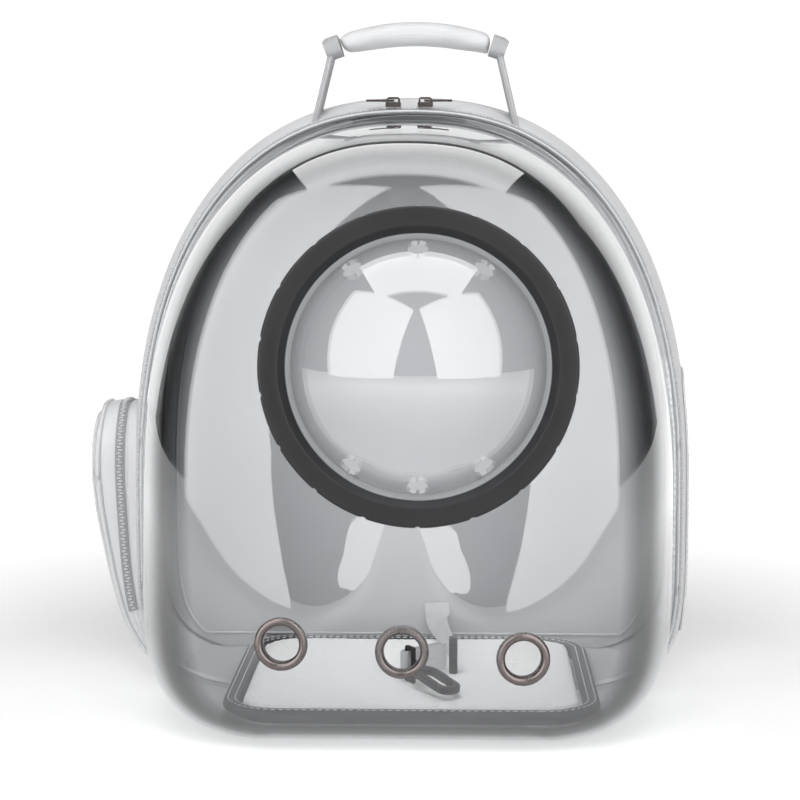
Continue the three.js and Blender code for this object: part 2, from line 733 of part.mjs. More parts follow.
// Piping round the back edge
function backPiping() {
  const steps = 5;
  const rows = Array.from({ length: steps }, (_, k) => {
    const angle = (2 * Math.PI * (k + 0.5)) / steps;
    const grow = backGrow - backPipe + backPipe * Math.sin(angle);
    return {
      y: bodyDepth + seatGap + backPipe + backPipe * Math.cos(angle), grow,
      floor: bandWall + seatGap + backPipe - backPipe * Math.sin(angle),
    };
  });
  return bandRing(rows);
}
addPiece("back_piping", backPiping(), whiteCloth());

// Zipped pocket on the -X side: a pouch that is open towards the band
function pocketReachAt(z) {
  const share = THREE.MathUtils.clamp((z - pocketLow) / (pocketTop - pocketLow), 0, 1);
  const rows = [
    { at: 0, reach: 0.16 }, { at: 0.2, reach: 0.4 }, { at: 0.42, reach: 0.7 }, { at: 0.66, reach: 0.93 },
    { at: 0.84, reach: 1 }, { at: 1, reach: 0.86 },
  ];
  const next = Math.max(rows.findIndex((row) => row.at >= share), 1);
  const a = rows[next - 1];
  const b = rows[next];
  return pocketBulge * (a.reach + ((b.reach - a.reach) * (share - a.at)) / (b.at - a.at));
}

const pocketMiddleY = (pocketFront + pocketBack) / 2;
const pocketMiddleZ = (pocketLow + pocketTop) / 2;
const pocketLoop = archedLoop(pocketBack - pocketFront, pocketTop - pocketLow, pocketCorner, 7);

function pocketPoint(p, inset, share, outShare, wall) {
  const width = pocketBack - pocketFront;
  const height = pocketTop - pocketLow;
  const y = pocketMiddleY + p.x * share * (1 - (2 * inset) / width);
  const z = pocketMiddleZ + p.y * share * (1 - (2 * inset) / height);
  const root = outShare === 0 ? -pocketRoot : 0;
  const x = halfWidthAt(z, bandGrowAt(y)) + root + (pocketReachAt(z) - wall) * outShare;
  return new THREE.Vector3(-x, y, z);
}

const pocketEdge = { share: 0.985, out: 0.86 };
const pocketCrown = 1.02;
const pocketRows = [
  { share: 1, out: 0 }, { share: 1, out: 0.3 }, { share: 1, out: 0.62 }, pocketEdge,
  { share: 0.93, out: 0.97 }, { share: 0.75, out: 1 }, { share: 0.4, out: pocketCrown },
];
function pocketPouch() {
  const sheet = (inset, wall) => pocketRows.map((row) => (
    pocketLoop.map((p) => pocketPoint(p, inset, row.share, row.out, wall))));
  const middle = new THREE.Vector2(0, 0);
  const pouch = skin([...sheet(0, 0).reverse(), ...sheet(pocketWall, pocketWall)],
    pocketPoint(middle, 0, 0, pocketCrown, 0), pocketPoint(middle, 0, 0, pocketCrown, pocketWall));
  return cutFrom(pouch, [filledBand(seatGap)]);
}
addPiece("pocket_pouch", pocketPouch(), whiteCloth());

// Ring of small cross-sections along a path of points with a frame at each
function sweepRing(path, closed, sectionAt) {
  const loops = path.map((point, index) => {
    const before = path[closed ? (index + path.length - 1) % path.length : Math.max(index - 1, 0)];
    const after = path[closed ? (index + 1) % path.length : Math.min(index + 1, path.length - 1)];
    const along = after.clone().sub(before).normalize();
    return sectionAt(point, along, index);
  });
  return closed ? skin(loops) : skinWithEnds(loops);
}

function rectSection(point, sideways, upwards, width, thickness, lift = 0) {
  return [[-1, 0], [1, 0], [1, 1], [-1, 1]].map(([across, over]) => (
    point.clone().addScaledVector(sideways, (across * width) / 2)
      .addScaledVector(upwards, lift + over * thickness)));
}

function roundSection(point, sideways, upwards, radius, steps) {
  return Array.from({ length: steps }, (_, k) => {
    const angle = (2 * Math.PI * k) / steps;
    return point.clone().addScaledVector(sideways, radius * Math.cos(angle))
      .addScaledVector(upwards, radius * Math.sin(angle));
  });
}

// Path round the pocket's wall, clear of its surface by lift
function pocketPath(outShare, share, lift) {
  return pocketLoop.map((p, index) => {
    const count = pocketLoop.length;
    const run = pocketLoop[(index + 1) % count].clone().sub(pocketLoop[(index + count - 1) % count]);
    const away = new THREE.Vector2(run.y, -run.x).normalize();
    const onWall = pocketPoint(p, 0, share, outShare, 0);
    return onWall.add(new THREE.Vector3(0, away.x * lift, away.y * lift));
  });
}

const outwardX = new THREE.Vector3(-1, 0, 0);
function pocketZip() {
  const path = pocketPath(pocketZipShare, 1, 0).filter((point) => point.z > pocketLow + pocketZipFoot);
  const zip = sweepRing(path, false, (point, along) => {
    const away = new THREE.Vector3().crossVectors(outwardX, along).normalize();
    if (away.dot(new THREE.Vector3(0, point.y - pocketMiddleY, point.z - pocketMiddleZ)) < 0) away.negate();
    return rectSection(point, outwardX, away, pocketZipWidth, pocketZipThickness, seatGap);
  });
  return cutFrom(zip, [filledBand(seatGap)]);
}
addPiece("pocket_zip", pocketZip(), greyTape());

function pocketPiping() {
  const path = pocketPath(pocketEdge.out, pocketEdge.share, pocketPipe + surfaceGap);
  return sweepRing(path, true, (point, along) => {
    const away = new THREE.Vector3().crossVectors(outwardX, along).normalize();
    return roundSection(point, outwardX, away, pocketPipe, 5);
  });
}
addPiece("pocket_piping", pocketPiping(), whiteCloth());

// Strap solid along a path, with a rounded rectangle section; sideways is the strap's width
function strapAlong(path, sideways, width, thickness, rounding, cornerSteps = 2) {
  return sweepRing(path, false, (point, along) => {
    const up = new THREE.Vector3().crossVectors(along, sideways).normalize();
    return roundedRect(width, thickness, rounding, cornerSteps).map((p) => (
      point.clone().addScaledVector(sideways, p.x).addScaledVector(up, p.y)));
  });
}

// Top handle: padded grip, webbing wraps and two webbing legs
const sideY = new THREE.Vector3(0, 1, 0);
const sideX = new THREE.Vector3(1, 0, 0);
const gripMiddle = handleTop - gripThickness / 2;
function gripPoint(x) {
  const half = gripLength / 2 + capLength;
  return new THREE.Vector3(handleShift + x, handleSet, gripMiddle - gripArch * (x / half) ** 2);
}

function alongGrip(from, to, steps) {
  return Array.from({ length: steps + 1 }, (_, k) => gripPoint(from + ((to - from) * k) / steps));
}
const gripPath = alongGrip(-gripLength / 2, gripLength / 2, 8);
addPiece("handle_grip", strapAlong(
  gripPath, sideY, gripWidth, gripThickness, gripThickness * 0.48, 3), whiteCloth());

const capStart = gripLength / 2 + capGap;
const capEnd = capStart + capLength;
for (const [name, side] of [["handle_cap_left", -1], ["handle_cap_right", 1]]) {
  const path = alongGrip(side * capStart, side * capEnd, 2);
  addPiece(name, strapAlong(
    path, sideY, gripWidth - capExtra, gripThickness - capExtra, gripThickness * 0.42, 3), webbing());
}

for (const [name, side] of [["handle_strap_left", -1], ["handle_strap_right", 1]]) {
  const top = gripPoint(side * (capEnd - handleStrapThickness));
  top.z -= (gripThickness - capExtra) / 2 + seatGap + handleStrapThickness / 3;
  const footX = handleShift + side * handleFoot;
  const foot = new THREE.Vector3(footX, handleSet, topAt(footX, 0));
  const path = [0, 0.5, 1].map((share) => top.clone().lerp(foot, share));
  const leg = strapAlong(path, sideY, handleStrapWidth, handleStrapThickness, handleStrapThickness * 0.3, 1);
  addPiece(name, cutFrom(leg, [filledBand(seatGap)]), webbing());
}

// Zip slider with its bail, made at the origin: it travels along X, and its pull tab lies along -X
const tabAxisHeight = sliderHeight + tabPlay + tabThickness / 2;
function sliderBody() {
  const body = new THREE.BoxGeometry(sliderLength, sliderWidth, sliderHeight).translate(0, 0, sliderHeight / 2);
  const inside = tabThickness + 2 * tabPlay;
  const arch = new THREE.Shape();
  const half = bailLength / 2;
  arch.moveTo(-half, sliderHeight / 2);
  arch.lineTo(half, sliderHeight / 2);
  arch.lineTo(half, sliderHeight + inside);
  arch.lineTo(half - bailBar, sliderHeight + inside + bailBar);
  arch.lineTo(-half + bailBar, sliderHeight + inside + bailBar);
  arch.lineTo(-half, sliderHeight + inside);
  arch.closePath();
  const gap = new THREE.Path();
  gap.moveTo(-half + bailBar, sliderHeight * 0.75);
  gap.lineTo(-half + bailBar, sliderHeight + inside);
  gap.lineTo(half - bailBar, sliderHeight + inside);
  gap.lineTo(half - bailBar, sliderHeight * 0.75);
  gap.closePath();
  arch.holes.push(gap);
  const bail = new THREE.ExtrudeGeometry(arch, { depth: bailWidth, bevelEnabled: false })
    .rotateX(Math.PI / 2).translate(0, bailWidth / 2, 0);
  return joined([body, bail]);
}

// Pull tab about its hinge bar, which lies under the bail
function pullTab() {
  const half = tabThickness / 2;
  const shape = new THREE.Shape();
  const w = tabWidth / 2;
  const chamfer = tabWidth / 5;
  shape.moveTo(half, -w);
  shape.lineTo(half, w);
  shape.lineTo(-tabLength + chamfer, w);
  shape.lineTo(-tabLength, w - chamfer);
  shape.lineTo(-tabLength, -w + chamfer);
  shape.lineTo(-tabLength + chamfer, -w);
  shape.closePath();
  const slot = new THREE.Path();
  slot.moveTo(-half, -w + tabRail);
  slot.lineTo(-half - tabSlotLength, -w + tabRail);
  slot.lineTo(-half - tabSlotLength, w - tabRail);
  slot.lineTo(-half, w - tabRail);
  slot.closePath();
  shape.holes.push(slot);
  return new THREE.ExtrudeGeometry(shape, { depth: tabThickness, bevelEnabled: false }).translate(0, 0, -half);
}

const zipMiddle = (zipFront + zipBack) / 2;
const sliderFoot = bodyHeight + seatGap + zipChainHeight + seatGap;
for (const [label, side] of [["left", -1], ["right", 1]]) {
  const mirror = side > 0 ? Math.PI : 0;
  const slider = addPiece(`zip_slider_${label}`, sliderBody(), gunmetal());
  slider.position.set((side * sliderSpacing) / 2, zipMiddle, sliderFoot);
  slider.rotation.z = mirror;
  const tab = addPiece(`zip_pull_${label}`, pullTab(), gunmetal());
  tab.position.set((side * sliderSpacing) / 2, zipMiddle, sliderFoot + tabAxisHeight);
  tab.rotation.z = mirror;
}

// Slider of the pocket's zip, parked low on the side that faces the back
const pocketSliderHeight = pocketLow + (pocketTop - pocketLow) * 0.42;
const pocketSliderOnLoop = new THREE.Vector2(pocketLoop[3].x, pocketSliderHeight - pocketMiddleZ);
const pocketSliderAt = new THREE.Vector3(
  pocketPoint(pocketSliderOnLoop, 0, 1, pocketZipShare, 0).x,
  pocketBack + surfaceGap + pocketZipThickness + seatGap, pocketSliderHeight);
const pocketSliderFrame = new THREE.Matrix4().makeBasis(
  new THREE.Vector3(0, 0, 1), new THREE.Vector3(1, 0, 0), new THREE.Vector3(0, 1, 0))
  .setPosition(pocketSliderAt);
addPiece("pocket_slider", sliderBody().applyMatrix4(pocketSliderFrame), gunmetal());
const pocketTabAt = pocketSliderAt.clone().add(new THREE.Vector3(0, tabAxisHeight, 0));
addPiece("pocket_pull", pullTab().applyMatrix4(pocketSliderFrame.clone().setPosition(pocketTabAt)), gunmetal());

// Mat: a fleece pad in a bound border
const matBase = bandWall + seatGap;
const matDepth = shellDepthLow - matFrontGap + bodyDepth - backPadInside - matBackGap;
const matBackEdge = backInside - matBackGap;
const matMiddleY = matBackEdge - matDepth / 2;
const matTop = matBase + matThickness;
function slabRing(width, depth, corner, inner, low, high) {
  const outerLoop = roundedRect(width, depth, corner);
  const innerLoop = roundedRect(width - 2 * inner, depth - 2 * inner, Math.max(corner - inner, 1));
  const place = (loop, z) => loop.map((p) => new THREE.Vector3(matShift + p.x, matMiddleY + p.y, z));
  const underside = inner * 1.4;
  const lowLoop = roundedRect(width - underside, depth - underside, Math.max(corner - underside / 2, 1));
  return skin([
    place(lowLoop, low), place(outerLoop, low + matSlope), place(outerLoop, high),
    place(innerLoop, high), place(innerLoop, low),
  ]);
}

addPiece("mat_border", slabRing(matWidth, matDepth, matCorner, matBorder, matBase, matTop), darkBinding());
const padInset = matBorder + seatGap;
const padLoop = roundedRect(matWidth - 2 * padInset, matDepth - 2 * padInset, matCorner - matBorder);
const padAt = (z) => padLoop.map((p) => new THREE.Vector3(matShift + p.x, matMiddleY + p.y, z));
addPiece("mat_pad", skinWithEnds([padAt(matBase), padAt(matTop + matPile)]), fleece());

// Safety tether: webbing from the back panel, twisted on edge on its way to a tri-glide, then a
// folded loop through the eye of a snap hook. All of it stands on the mat.
const matSurface = matTop + matPile;
const eyeHeight = tetherWidth + 2 * (seatGap + hookEyeBar);
const tetherHeight = matSurface + seatGap + eyeHeight / 2;
const slideCentre = new THREE.Vector3(matShift + slideAcross, backInside - slideOut, tetherHeight);

function webbingOnEdge(path) {
  return sweepRing(path, false, (point, along) => {
    const up = new THREE.Vector3().crossVectors(along, upright).normalize();
    return roundedRect(tetherWidth, tetherThickness, tetherThickness * 0.3, 1).map((p) => (
      point.clone().addScaledVector(upright, p.x).addScaledVector(up, p.y)));
  });
}

function tetherStrap() {
  const start = new THREE.Vector3(
    matShift + tetherAcross, backInside - seatGap - tetherThickness / 2, matSurface + tetherStart);
  const end = slideCentre.clone().add(new THREE.Vector3(0, slideLength / 2 + seatGap + tetherThickness / 2, 0));
  const rows = [
    { along: 0, height: 1 }, { along: 0.015, height: 0.6 }, { along: 0.1, height: -0.05 },
    { along: 0.35, height: -0.12 }, { along: 0.7, height: -0.02 }, { along: 1, height: 0 },
  ];
  const path = rows.map((row) => {
    const point = start.clone().lerp(end, row.along);
    return point.setZ(end.z + (start.z - end.z) * row.height);
  });
  const curve = new THREE.CatmullRomCurve3(path, false, "centripetal");
  const points = curve.getPoints(14);
  return sweepRing(points, false, (point, along, index) => {
    const share = THREE.MathUtils.smoothstep(index / (points.length - 1), 0.3, 0.95);
    const across = sideX.clone().applyAxisAngle(along, (share * Math.PI) / 2);
    const up = new THREE.Vector3().crossVectors(along, across).normalize();
    return roundedRect(tetherWidth, tetherThickness, tetherThickness * 0.3, 1).map((p) => (
      point.clone().addScaledVector(across, p.x).addScaledVector(up, p.y)));
  });
}
addPiece("tether_strap", tetherStrap(), webbing());

function triGlide() {
  const height = tetherWidth + 2 * (seatGap + slideRim);
  const shape = new THREE.Shape(roundedRect(slideLength, height, slideRim, 2));
  const slot = roundedRect(slideLength - 2 * slideRim, height - 2 * slideRim, slideRim / 3, 1);
  shape.holes.push(new THREE.Path(slot.reverse()));
  const stand = new THREE.Matrix4().makeBasis(
    new THREE.Vector3(0, 1, 0), new THREE.Vector3(0, 0, 1), new THREE.Vector3(1, 0, 0));
  const plate = new THREE.ExtrudeGeometry(shape, { depth: slideThickness, bevelEnabled: false });
  return plate.translate(0, 0, -slideThickness / 2).applyMatrix4(stand)
    .translate(slideCentre.x, slideCentre.y, slideCentre.z);
}
addPiece("tether_slide", triGlide(), blackPlastic());

// The eye and the hook share one swivel axis, which points from the eye down to the hook's tip
const hookReach = hookLength + hookCollar;
const hookDrop = Math.asin((tetherHeight - matSurface - hookTipLift) / hookReach);
const hookAngle = THREE.MathUtils.degToRad(hookTurn);
const hookAxis = new THREE.Vector3(
  Math.cos(hookDrop) * Math.cos(hookAngle), -Math.cos(hookDrop) * Math.sin(hookAngle), -Math.sin(hookDrop));
const hookSide = new THREE.Vector3(Math.sin(hookAngle), Math.cos(hookAngle), 0);
const hookFace = new THREE.Vector3().crossVectors(hookAxis, hookSide).normalize();
const eyeBarAt = slideCentre.clone().add(new THREE.Vector3(-loopAcross, -loopOut, 0));
const eyeBack = hookEyeDepth - hookEyeBar / 2 + swivelPlay;
const eyeAxis = new THREE.Vector3(Math.cos(hookAngle), -Math.sin(hookAngle), 0);
const swivelStart = eyeBarAt.clone().addScaledVector(eyeAxis, eyeBack);
const eyeFrame = new THREE.Matrix4().makeBasis(hookSide, upright, eyeAxis).setPosition(swivelStart);
const hookFrame = new THREE.Matrix4().makeBasis(hookSide, hookFace, hookAxis).setPosition(swivelStart);

function platePart(shape, thickness) {
  return new THREE.ExtrudeGeometry(shape, { depth: thickness, bevelEnabled: false })
    .rotateX(Math.PI / 2).translate(0, thickness / 2, 0);
}

function hookEyePiece() {
  const shape = new THREE.Shape(roundedRect(eyeHeight, hookEyeDepth, hookEyeBar / 2, 2));
  const slot = roundedRect(eyeHeight - 2 * hookEyeBar, hookEyeDepth - 2 * hookEyeBar, hookEyeBar / 5, 1);
  shape.holes.push(new THREE.Path(slot.reverse()));
  const frame = platePart(shape, hookEyeBar).rotateZ(Math.PI / 2)
    .translate(0, 0, -hookEyeDepth / 2 - swivelPlay).applyMatrix4(eyeFrame);
  const post = cylinderAlongZ(swivelRadius, -hookEyeBar, hookCollar - 1, 12).applyMatrix4(hookFrame);
  return joined([frame, post]);
}
addPiece("hook_eye", hookEyePiece(), blackPlastic());

function snapHook() {
  const low = hookCollar - 1;
  const middle = (low + hookReach) / 2;
  const plateLength = hookReach - low;
  const rim = (hookWidth - hookSlot) / 2;
  const shape = new THREE.Shape(roundedRect(hookWidth, plateLength, hookWidth / 2 - 0.5, 4));
  const slot = roundedRect(hookSlot, plateLength - 2 * rim, hookSlot / 2 - 0.3, 3);
  shape.holes.push(new THREE.Path(slot.reverse()));
  const plate = platePart(shape, hookThickness).translate(0, 0, middle);
  const collar = cylinderAlongZ(swivelRadius + seatGap + 1.8, 0, hookCollar + rim / 2, 14);
  const bore = cylinderAlongZ(swivelRadius + seatGap, -1, hookCollar - 1 + seatGap, 14);
  const mouth = new THREE.BoxGeometry(rim * 2, hookThickness * 2, hookMouth)
    .rotateY(THREE.MathUtils.degToRad(35)).translate(-hookWidth / 2 + rim / 2, 0, hookReach - rim * 2.2);
  return cutFrom(joined([plate, collar]), [bore, mouth]).applyMatrix4(hookFrame);
}
addPiece("snap_hook", snapHook(), blackPlastic());

// Folded loop from the tri-glide round the back bar of the eye, on edge
function tetherLoop() {
  const run = new THREE.Vector3(-loopAcross, -loopOut, 0).normalize();
  const aside = new THREE.Vector3(-run.y, run.x, 0);
  const legSpread = hookEyeBar / 2 + seatGap + tetherThickness / 2;
  const besideSlide = slideThickness / 2 + seatGap + tetherThickness;
  const start = slideCentre.clone().add(new THREE.Vector3(-besideSlide, 0, 0));
  const nearGlide = start.clone().addScaledVector(run, legSpread);
  const leg = (side) => [
    nearGlide.clone().addScaledVector(aside, side * legSpread),
    nearGlide.clone().lerp(eyeBarAt, 0.5).addScaledVector(aside, side * legSpread * 1.15),
    eyeBarAt.clone().addScaledVector(aside, side * legSpread),
  ];
  const turnSteps = 6;
  const fold = Array.from({ length: turnSteps - 1 }, (_, k) => {
    const angle = (Math.PI * (k + 1)) / turnSteps;
    return eyeBarAt.clone().addScaledVector(run, hookEyeBar / 2 + legSpread * Math.sin(angle))
      .addScaledVector(aside, legSpread * Math.cos(angle));
  });
  const path = [...leg(1), ...fold, ...leg(-1).reverse()];
  return webbingOnEdge(path);
}
addPiece("tether_loop", tetherLoop(), webbing());

// Shoulder straps on the back: padded upper part, adjuster, lower webbing and its sewn anchor
const strapRows = [
  { down: 0, out: 0 }, { down: 0.1, out: 0.22 }, { down: 0.3, out: 0.7 }, { down: 0.58, out: 1 },
  { down: 0.84, out: 0.93 }, { down: 1, out: 0.8 },
];
for (const [label, side] of [["left", -1], ["right", 1]]) {
  const strapPlace = (down, out) => new THREE.Vector3(
    side * (strapSpacing / 2 + strapSplay * down),
    backFace + seatGap + strapThickness / 2 + strapBow * out,
    strapTop + (strapEnd - strapTop) * down);
  const curve = new THREE.CatmullRomCurve3(strapRows.map((row) => strapPlace(row.down, row.out)));
  addPiece(`shoulder_strap_${label}`, strapAlong(
    curve.getPoints(12), sideX, strapWidth, strapThickness, strapThickness * 0.45, 2), whiteCloth());

  const last = curve.getPoint(1);
  const heading = curve.getTangent(1);
  const adjusterAt = last.clone().addScaledVector(heading, seatGap + adjusterHeight / 2 + strapThickness * 0.1);
  const across = new THREE.Vector3().crossVectors(heading, sideX).normalize();
  const width = new THREE.Vector3().crossVectors(across, heading).normalize();
  const adjusterFrame = new THREE.Matrix4().makeBasis(width, heading, across.clone().negate())
    .setPosition(adjusterAt);
  const shape = new THREE.Shape(roundedRect(adjusterWidth, adjusterHeight, adjusterBar, 2));
  const slotHeight = (adjusterHeight - 3 * adjusterBar) / 2;
  for (const place of [-1, 1]) {
    const loop = roundedRect(adjusterWidth - 2 * adjusterBar, slotHeight, 0.8, 1);
    shape.holes.push(new THREE.Path(loop.map((p) => (
      new THREE.Vector2(p.x, p.y + (place * (slotHeight + adjusterBar)) / 2))).reverse()));
  }
  addPiece(`strap_adjuster_${label}`, new THREE.ExtrudeGeometry(
    shape, { depth: adjusterThickness, bevelEnabled: false }).translate(0, 0, -adjusterThickness / 2)
    .applyMatrix4(adjusterFrame), blackPlastic());

  const belowAdjuster = adjusterHeight / 2 + seatGap * 2 + lowerWebThickness / 2;
  const webTop = adjusterAt.clone().addScaledVector(heading, belowAdjuster);
  const anchorFace = backFace + seatGap + anchorThickness;
  const anchorX = side * (strapSpacing / 2 + strapSplay);
  const webFoot = new THREE.Vector3(
    anchorX, anchorFace + seatGap + lowerWebThickness / 2, anchorHeight - anchorSize / 4);
  const webBend = webFoot.clone().add(new THREE.Vector3(0, 0, anchorSize / 2));
  const webCurve = new THREE.CatmullRomCurve3(
    [webTop, webTop.clone().lerp(webBend, 0.6), webBend, webFoot], false, "centripetal");
  const web = webCurve.getPoints(8).map((p) => p.setY(Math.max(p.y, webFoot.y)));
  addPiece(`strap_webbing_${label}`, strapAlong(
    web, sideX, lowerWebWidth, lowerWebThickness, lowerWebThickness * 0.3, 1), webbing());

  const patch = new THREE.Shape(roundedRect(anchorSize, anchorSize, anchorSize / 8, 2));
  const patchSolid = new THREE.ExtrudeGeometry(patch, { depth: anchorThickness, bevelEnabled: false })
    .rotateX(Math.PI / 2).translate(anchorX, anchorFace, anchorHeight);
  addPiece(`strap_anchor_${label}`, patchSolid, whiteCloth());
}

// The origin is the middle of the underside of the whole object's box
const wholeBox = new THREE.Box3().setFromObject(backpack);
const wholeMiddle = wholeBox.getCenter(new THREE.Vector3());
backpack.position.set(-wholeMiddle.x, -wholeMiddle.y, -wholeBox.min.z);

export default backpack;
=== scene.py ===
# Bubble pet carrier backpack: the dressed model, its studio and its camera.
# Lengths are millimetres in the bag's own frame until a point is placed, and metres after that.

import math

import bpy
from mathutils import Matrix, Vector


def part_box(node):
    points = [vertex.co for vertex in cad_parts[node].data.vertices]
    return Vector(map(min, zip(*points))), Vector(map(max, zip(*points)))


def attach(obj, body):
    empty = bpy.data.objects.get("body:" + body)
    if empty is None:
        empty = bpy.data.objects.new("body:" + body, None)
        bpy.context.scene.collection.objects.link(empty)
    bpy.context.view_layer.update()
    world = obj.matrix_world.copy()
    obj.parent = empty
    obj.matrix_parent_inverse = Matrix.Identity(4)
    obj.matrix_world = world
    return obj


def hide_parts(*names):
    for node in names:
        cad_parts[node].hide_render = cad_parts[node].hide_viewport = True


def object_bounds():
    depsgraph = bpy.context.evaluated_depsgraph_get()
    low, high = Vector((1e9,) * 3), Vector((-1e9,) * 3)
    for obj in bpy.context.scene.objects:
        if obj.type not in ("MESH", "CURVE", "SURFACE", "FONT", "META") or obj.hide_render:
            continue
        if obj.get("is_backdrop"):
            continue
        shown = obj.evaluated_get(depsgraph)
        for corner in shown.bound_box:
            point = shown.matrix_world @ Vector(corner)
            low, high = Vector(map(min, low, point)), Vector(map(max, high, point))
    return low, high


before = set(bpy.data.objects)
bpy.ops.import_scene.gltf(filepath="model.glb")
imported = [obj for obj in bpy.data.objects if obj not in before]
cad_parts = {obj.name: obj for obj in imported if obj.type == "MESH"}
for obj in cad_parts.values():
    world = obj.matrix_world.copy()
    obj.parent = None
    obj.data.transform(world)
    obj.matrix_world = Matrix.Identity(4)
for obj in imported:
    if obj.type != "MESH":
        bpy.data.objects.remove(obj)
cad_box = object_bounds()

# The bag's own frame: x = 0 is its middle, y = 0 its zip line, and z = 0 the floor
MM = 0.001
GAP = 0.3
tape_low, tape_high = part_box("zip_tape")
MIDDLE_X = (tape_low[0] + tape_high[0]) / 2 / MM
RIM_Y = tape_low[1] / MM - GAP
MERGE_WITHIN = 0.00002          # metres; doubled points nearer than this become one
SMALL = 1e-6
TINY = 1e-9                     # keeps a division off zero

# Body outline
BODY_WIDTH = (tape_high[0] - tape_low[0]) / MM
BODY_HEIGHT = tape_high[2] / MM
WIDEST = 117.0
ARCH_POWER = 2.35
BASE_POWER = 5.4
BASE_SINK = 2.0
CORNER_CARE = 55.0

# Clear shell, window and vents
SHELL_WALL = 2.0
DEPTH_LOW = 157.0
DEPTH_TOP = 133.0
DRAFT = 0.08
SIDE_POWER = 4.2
TOP_POWER = 6.0
FOOT_POWER = 8.0
FACE_MIDDLE = 160.0
LIP = 5.0
WINDOW_HEIGHT = 210.0
SHELL_TURN = math.radians(3.2)
SEAT_PROUD = 1.2
RING_RADIUS = 84.5
RING_BAND = 10.5
RING_CHAMFER = 4.0
RING_HEIGHT = 9.5
OPENING = RING_RADIUS - RING_BAND - RING_CHAMFER
DOME_HEIGHT = 47.0
DOME_WALL = 2.0
DOME_FLANGE = 7.0
VENT_HEIGHT = 59.0
VENT_SPACING = 64.5
VENT_RADIUS = 14.4
VENT_HOLE = 9.8

# Soft body
ZIP_BACK = 8.3
BAND_FRONT = 8.6
BODY_DEPTH = 108.0
BAND_BULGE = 9.0
BAND_WALL = 3.0
BACK_INSIDE = 100.0
BACK_OUTSIDE = 114.0
BACK_CROWN = 5.0


# Placing and shaping

def put(x, y, z):
    """A point of the bag's own frame, in metres in the model's frame."""
    return Vector(((x + MIDDLE_X) * MM, (y + RIM_Y) * MM, z * MM))


def deselect():
    bpy.ops.object.select_all(action="DESELECT")


def activate(obj):
    deselect()
    obj.select_set(True)
    bpy.context.view_layer.objects.active = obj


def named(name):
    obj = bpy.context.object
    obj.name = name
    obj.data.name = name
    return obj


def clean(obj):
    """Merge doubled points and point the faces outwards."""
    activate(obj)
    bpy.ops.object.mode_set(mode="EDIT")
    bpy.ops.mesh.select_all(action="SELECT")
    bpy.ops.mesh.remove_doubles(threshold=MERGE_WITHIN)
    bpy.ops.mesh.dissolve_degenerate(threshold=SMALL)
    bpy.ops.mesh.normals_make_consistent(inside=False)
    bpy.ops.object.mode_set(mode="OBJECT")
    return obj


def smooth(obj, degrees=40):
    activate(obj)
    bpy.ops.object.shade_smooth_by_angle(angle=math.radians(degrees))
    return obj


def modify(obj, kind, **settings):
    """Add a modifier, set it and apply it."""
    activate(obj)
    modifier = obj.modifiers.new(kind.title(), kind)
    for key, value in settings.items():
        setattr(modifier, key, value)
    bpy.ops.object.modifier_apply(modifier=modifier.name)
    return obj


def cut(obj, cutters):
    for cutter in cutters:
        modify(obj, "BOOLEAN", operation="DIFFERENCE", solver="EXACT", object=cutter)
        bpy.data.objects.remove(cutter, do_unlink=True)
    return obj


def join(objects, name):
    activate(objects[0])
    for obj in objects:
        obj.select_set(True)
    bpy.ops.object.join()
    return named(name)


def loft(name, rings, closed=True):
    """A grid whose rows are moved onto rings of points, closed round each ring where asked."""
    count = len(rings[0])
    columns = count if closed else count - 1
    rows = len(rings) - 1
    deselect()
    bpy.ops.mesh.primitive_grid_add(x_subdivisions=columns, y_subdivisions=rows, size=1)
    obj = named(name)
    for vertex in obj.data.vertices:
        column = round((vertex.co.x + 0.5) * columns)
        row = round((vertex.co.y + 0.5) * rows)
        vertex.co = rings[row][column % count]
    return clean(obj)


def lathe(name, profile, place, steps):
    """A closed profile of radius and height, spun round the axis of a place."""
    profile = [*profile, profile[0]]
    rings = []
    for step in range(steps):
        turn = 2 * math.pi * step / steps
        rings.append([place @ Vector((r * math.cos(turn), r * math.sin(turn), h)) for r, h in profile])
    rings.append(rings[0])
    return loft(name, rings, closed=False)


def cylinder(name, radius, low, high, place, steps):
    deselect()
    bpy.ops.mesh.primitive_cylinder_add(vertices=steps, radius=radius * MM, depth=(high - low) * MM)
    obj = named(name)
    shift = Matrix.Translation((0, 0, (low + high) / 2 * MM))
    obj.data.transform(place_frame(place) @ shift)
    return obj


def place_frame(place):
    """The metre version of a place, for meshes that are already in metres."""
    turned = place.to_3x3().normalized().to_4x4()
    return Matrix.Translation(place.translation) @ turned


def place_at(x, y, z, direction):
    """A frame in the model whose +Z points along a direction; its own unit is the millimetre."""
    turn = Vector((0, 0, 1)).rotation_difference(Vector(direction).normalized()).to_matrix().to_4x4()
    return Matrix.Translation(put(x, y, z)) @ turn @ Matrix.Scale(MM, 4)


def framed(position, first, second, third):
    """A placed frame in metres from three directions."""
    turn = Matrix((first, second, third)).transposed().to_4x4()
    return Matrix.Translation(position) @ turn


def scatter(name, pattern, frames):
    """Many copies of a small mesh in one piece."""
    points = []
    faces = []
    source = [vertex.co.copy() for vertex in pattern.data.vertices]
    polygons = [tuple(face.vertices) for face in pattern.data.polygons]
    for place in frames:
        start = len(points)
        points.extend(place @ point for point in source)
        faces.extend(tuple(start + index for index in face) for face in polygons)
    mesh = bpy.data.meshes.new(name)
    mesh.from_pydata(points, [], faces)
    obj = bpy.data.objects.new(name, mesh)
    bpy.context.scene.collection.objects.link(obj)
    bpy.data.objects.remove(pattern, do_unlink=True)
    return obj


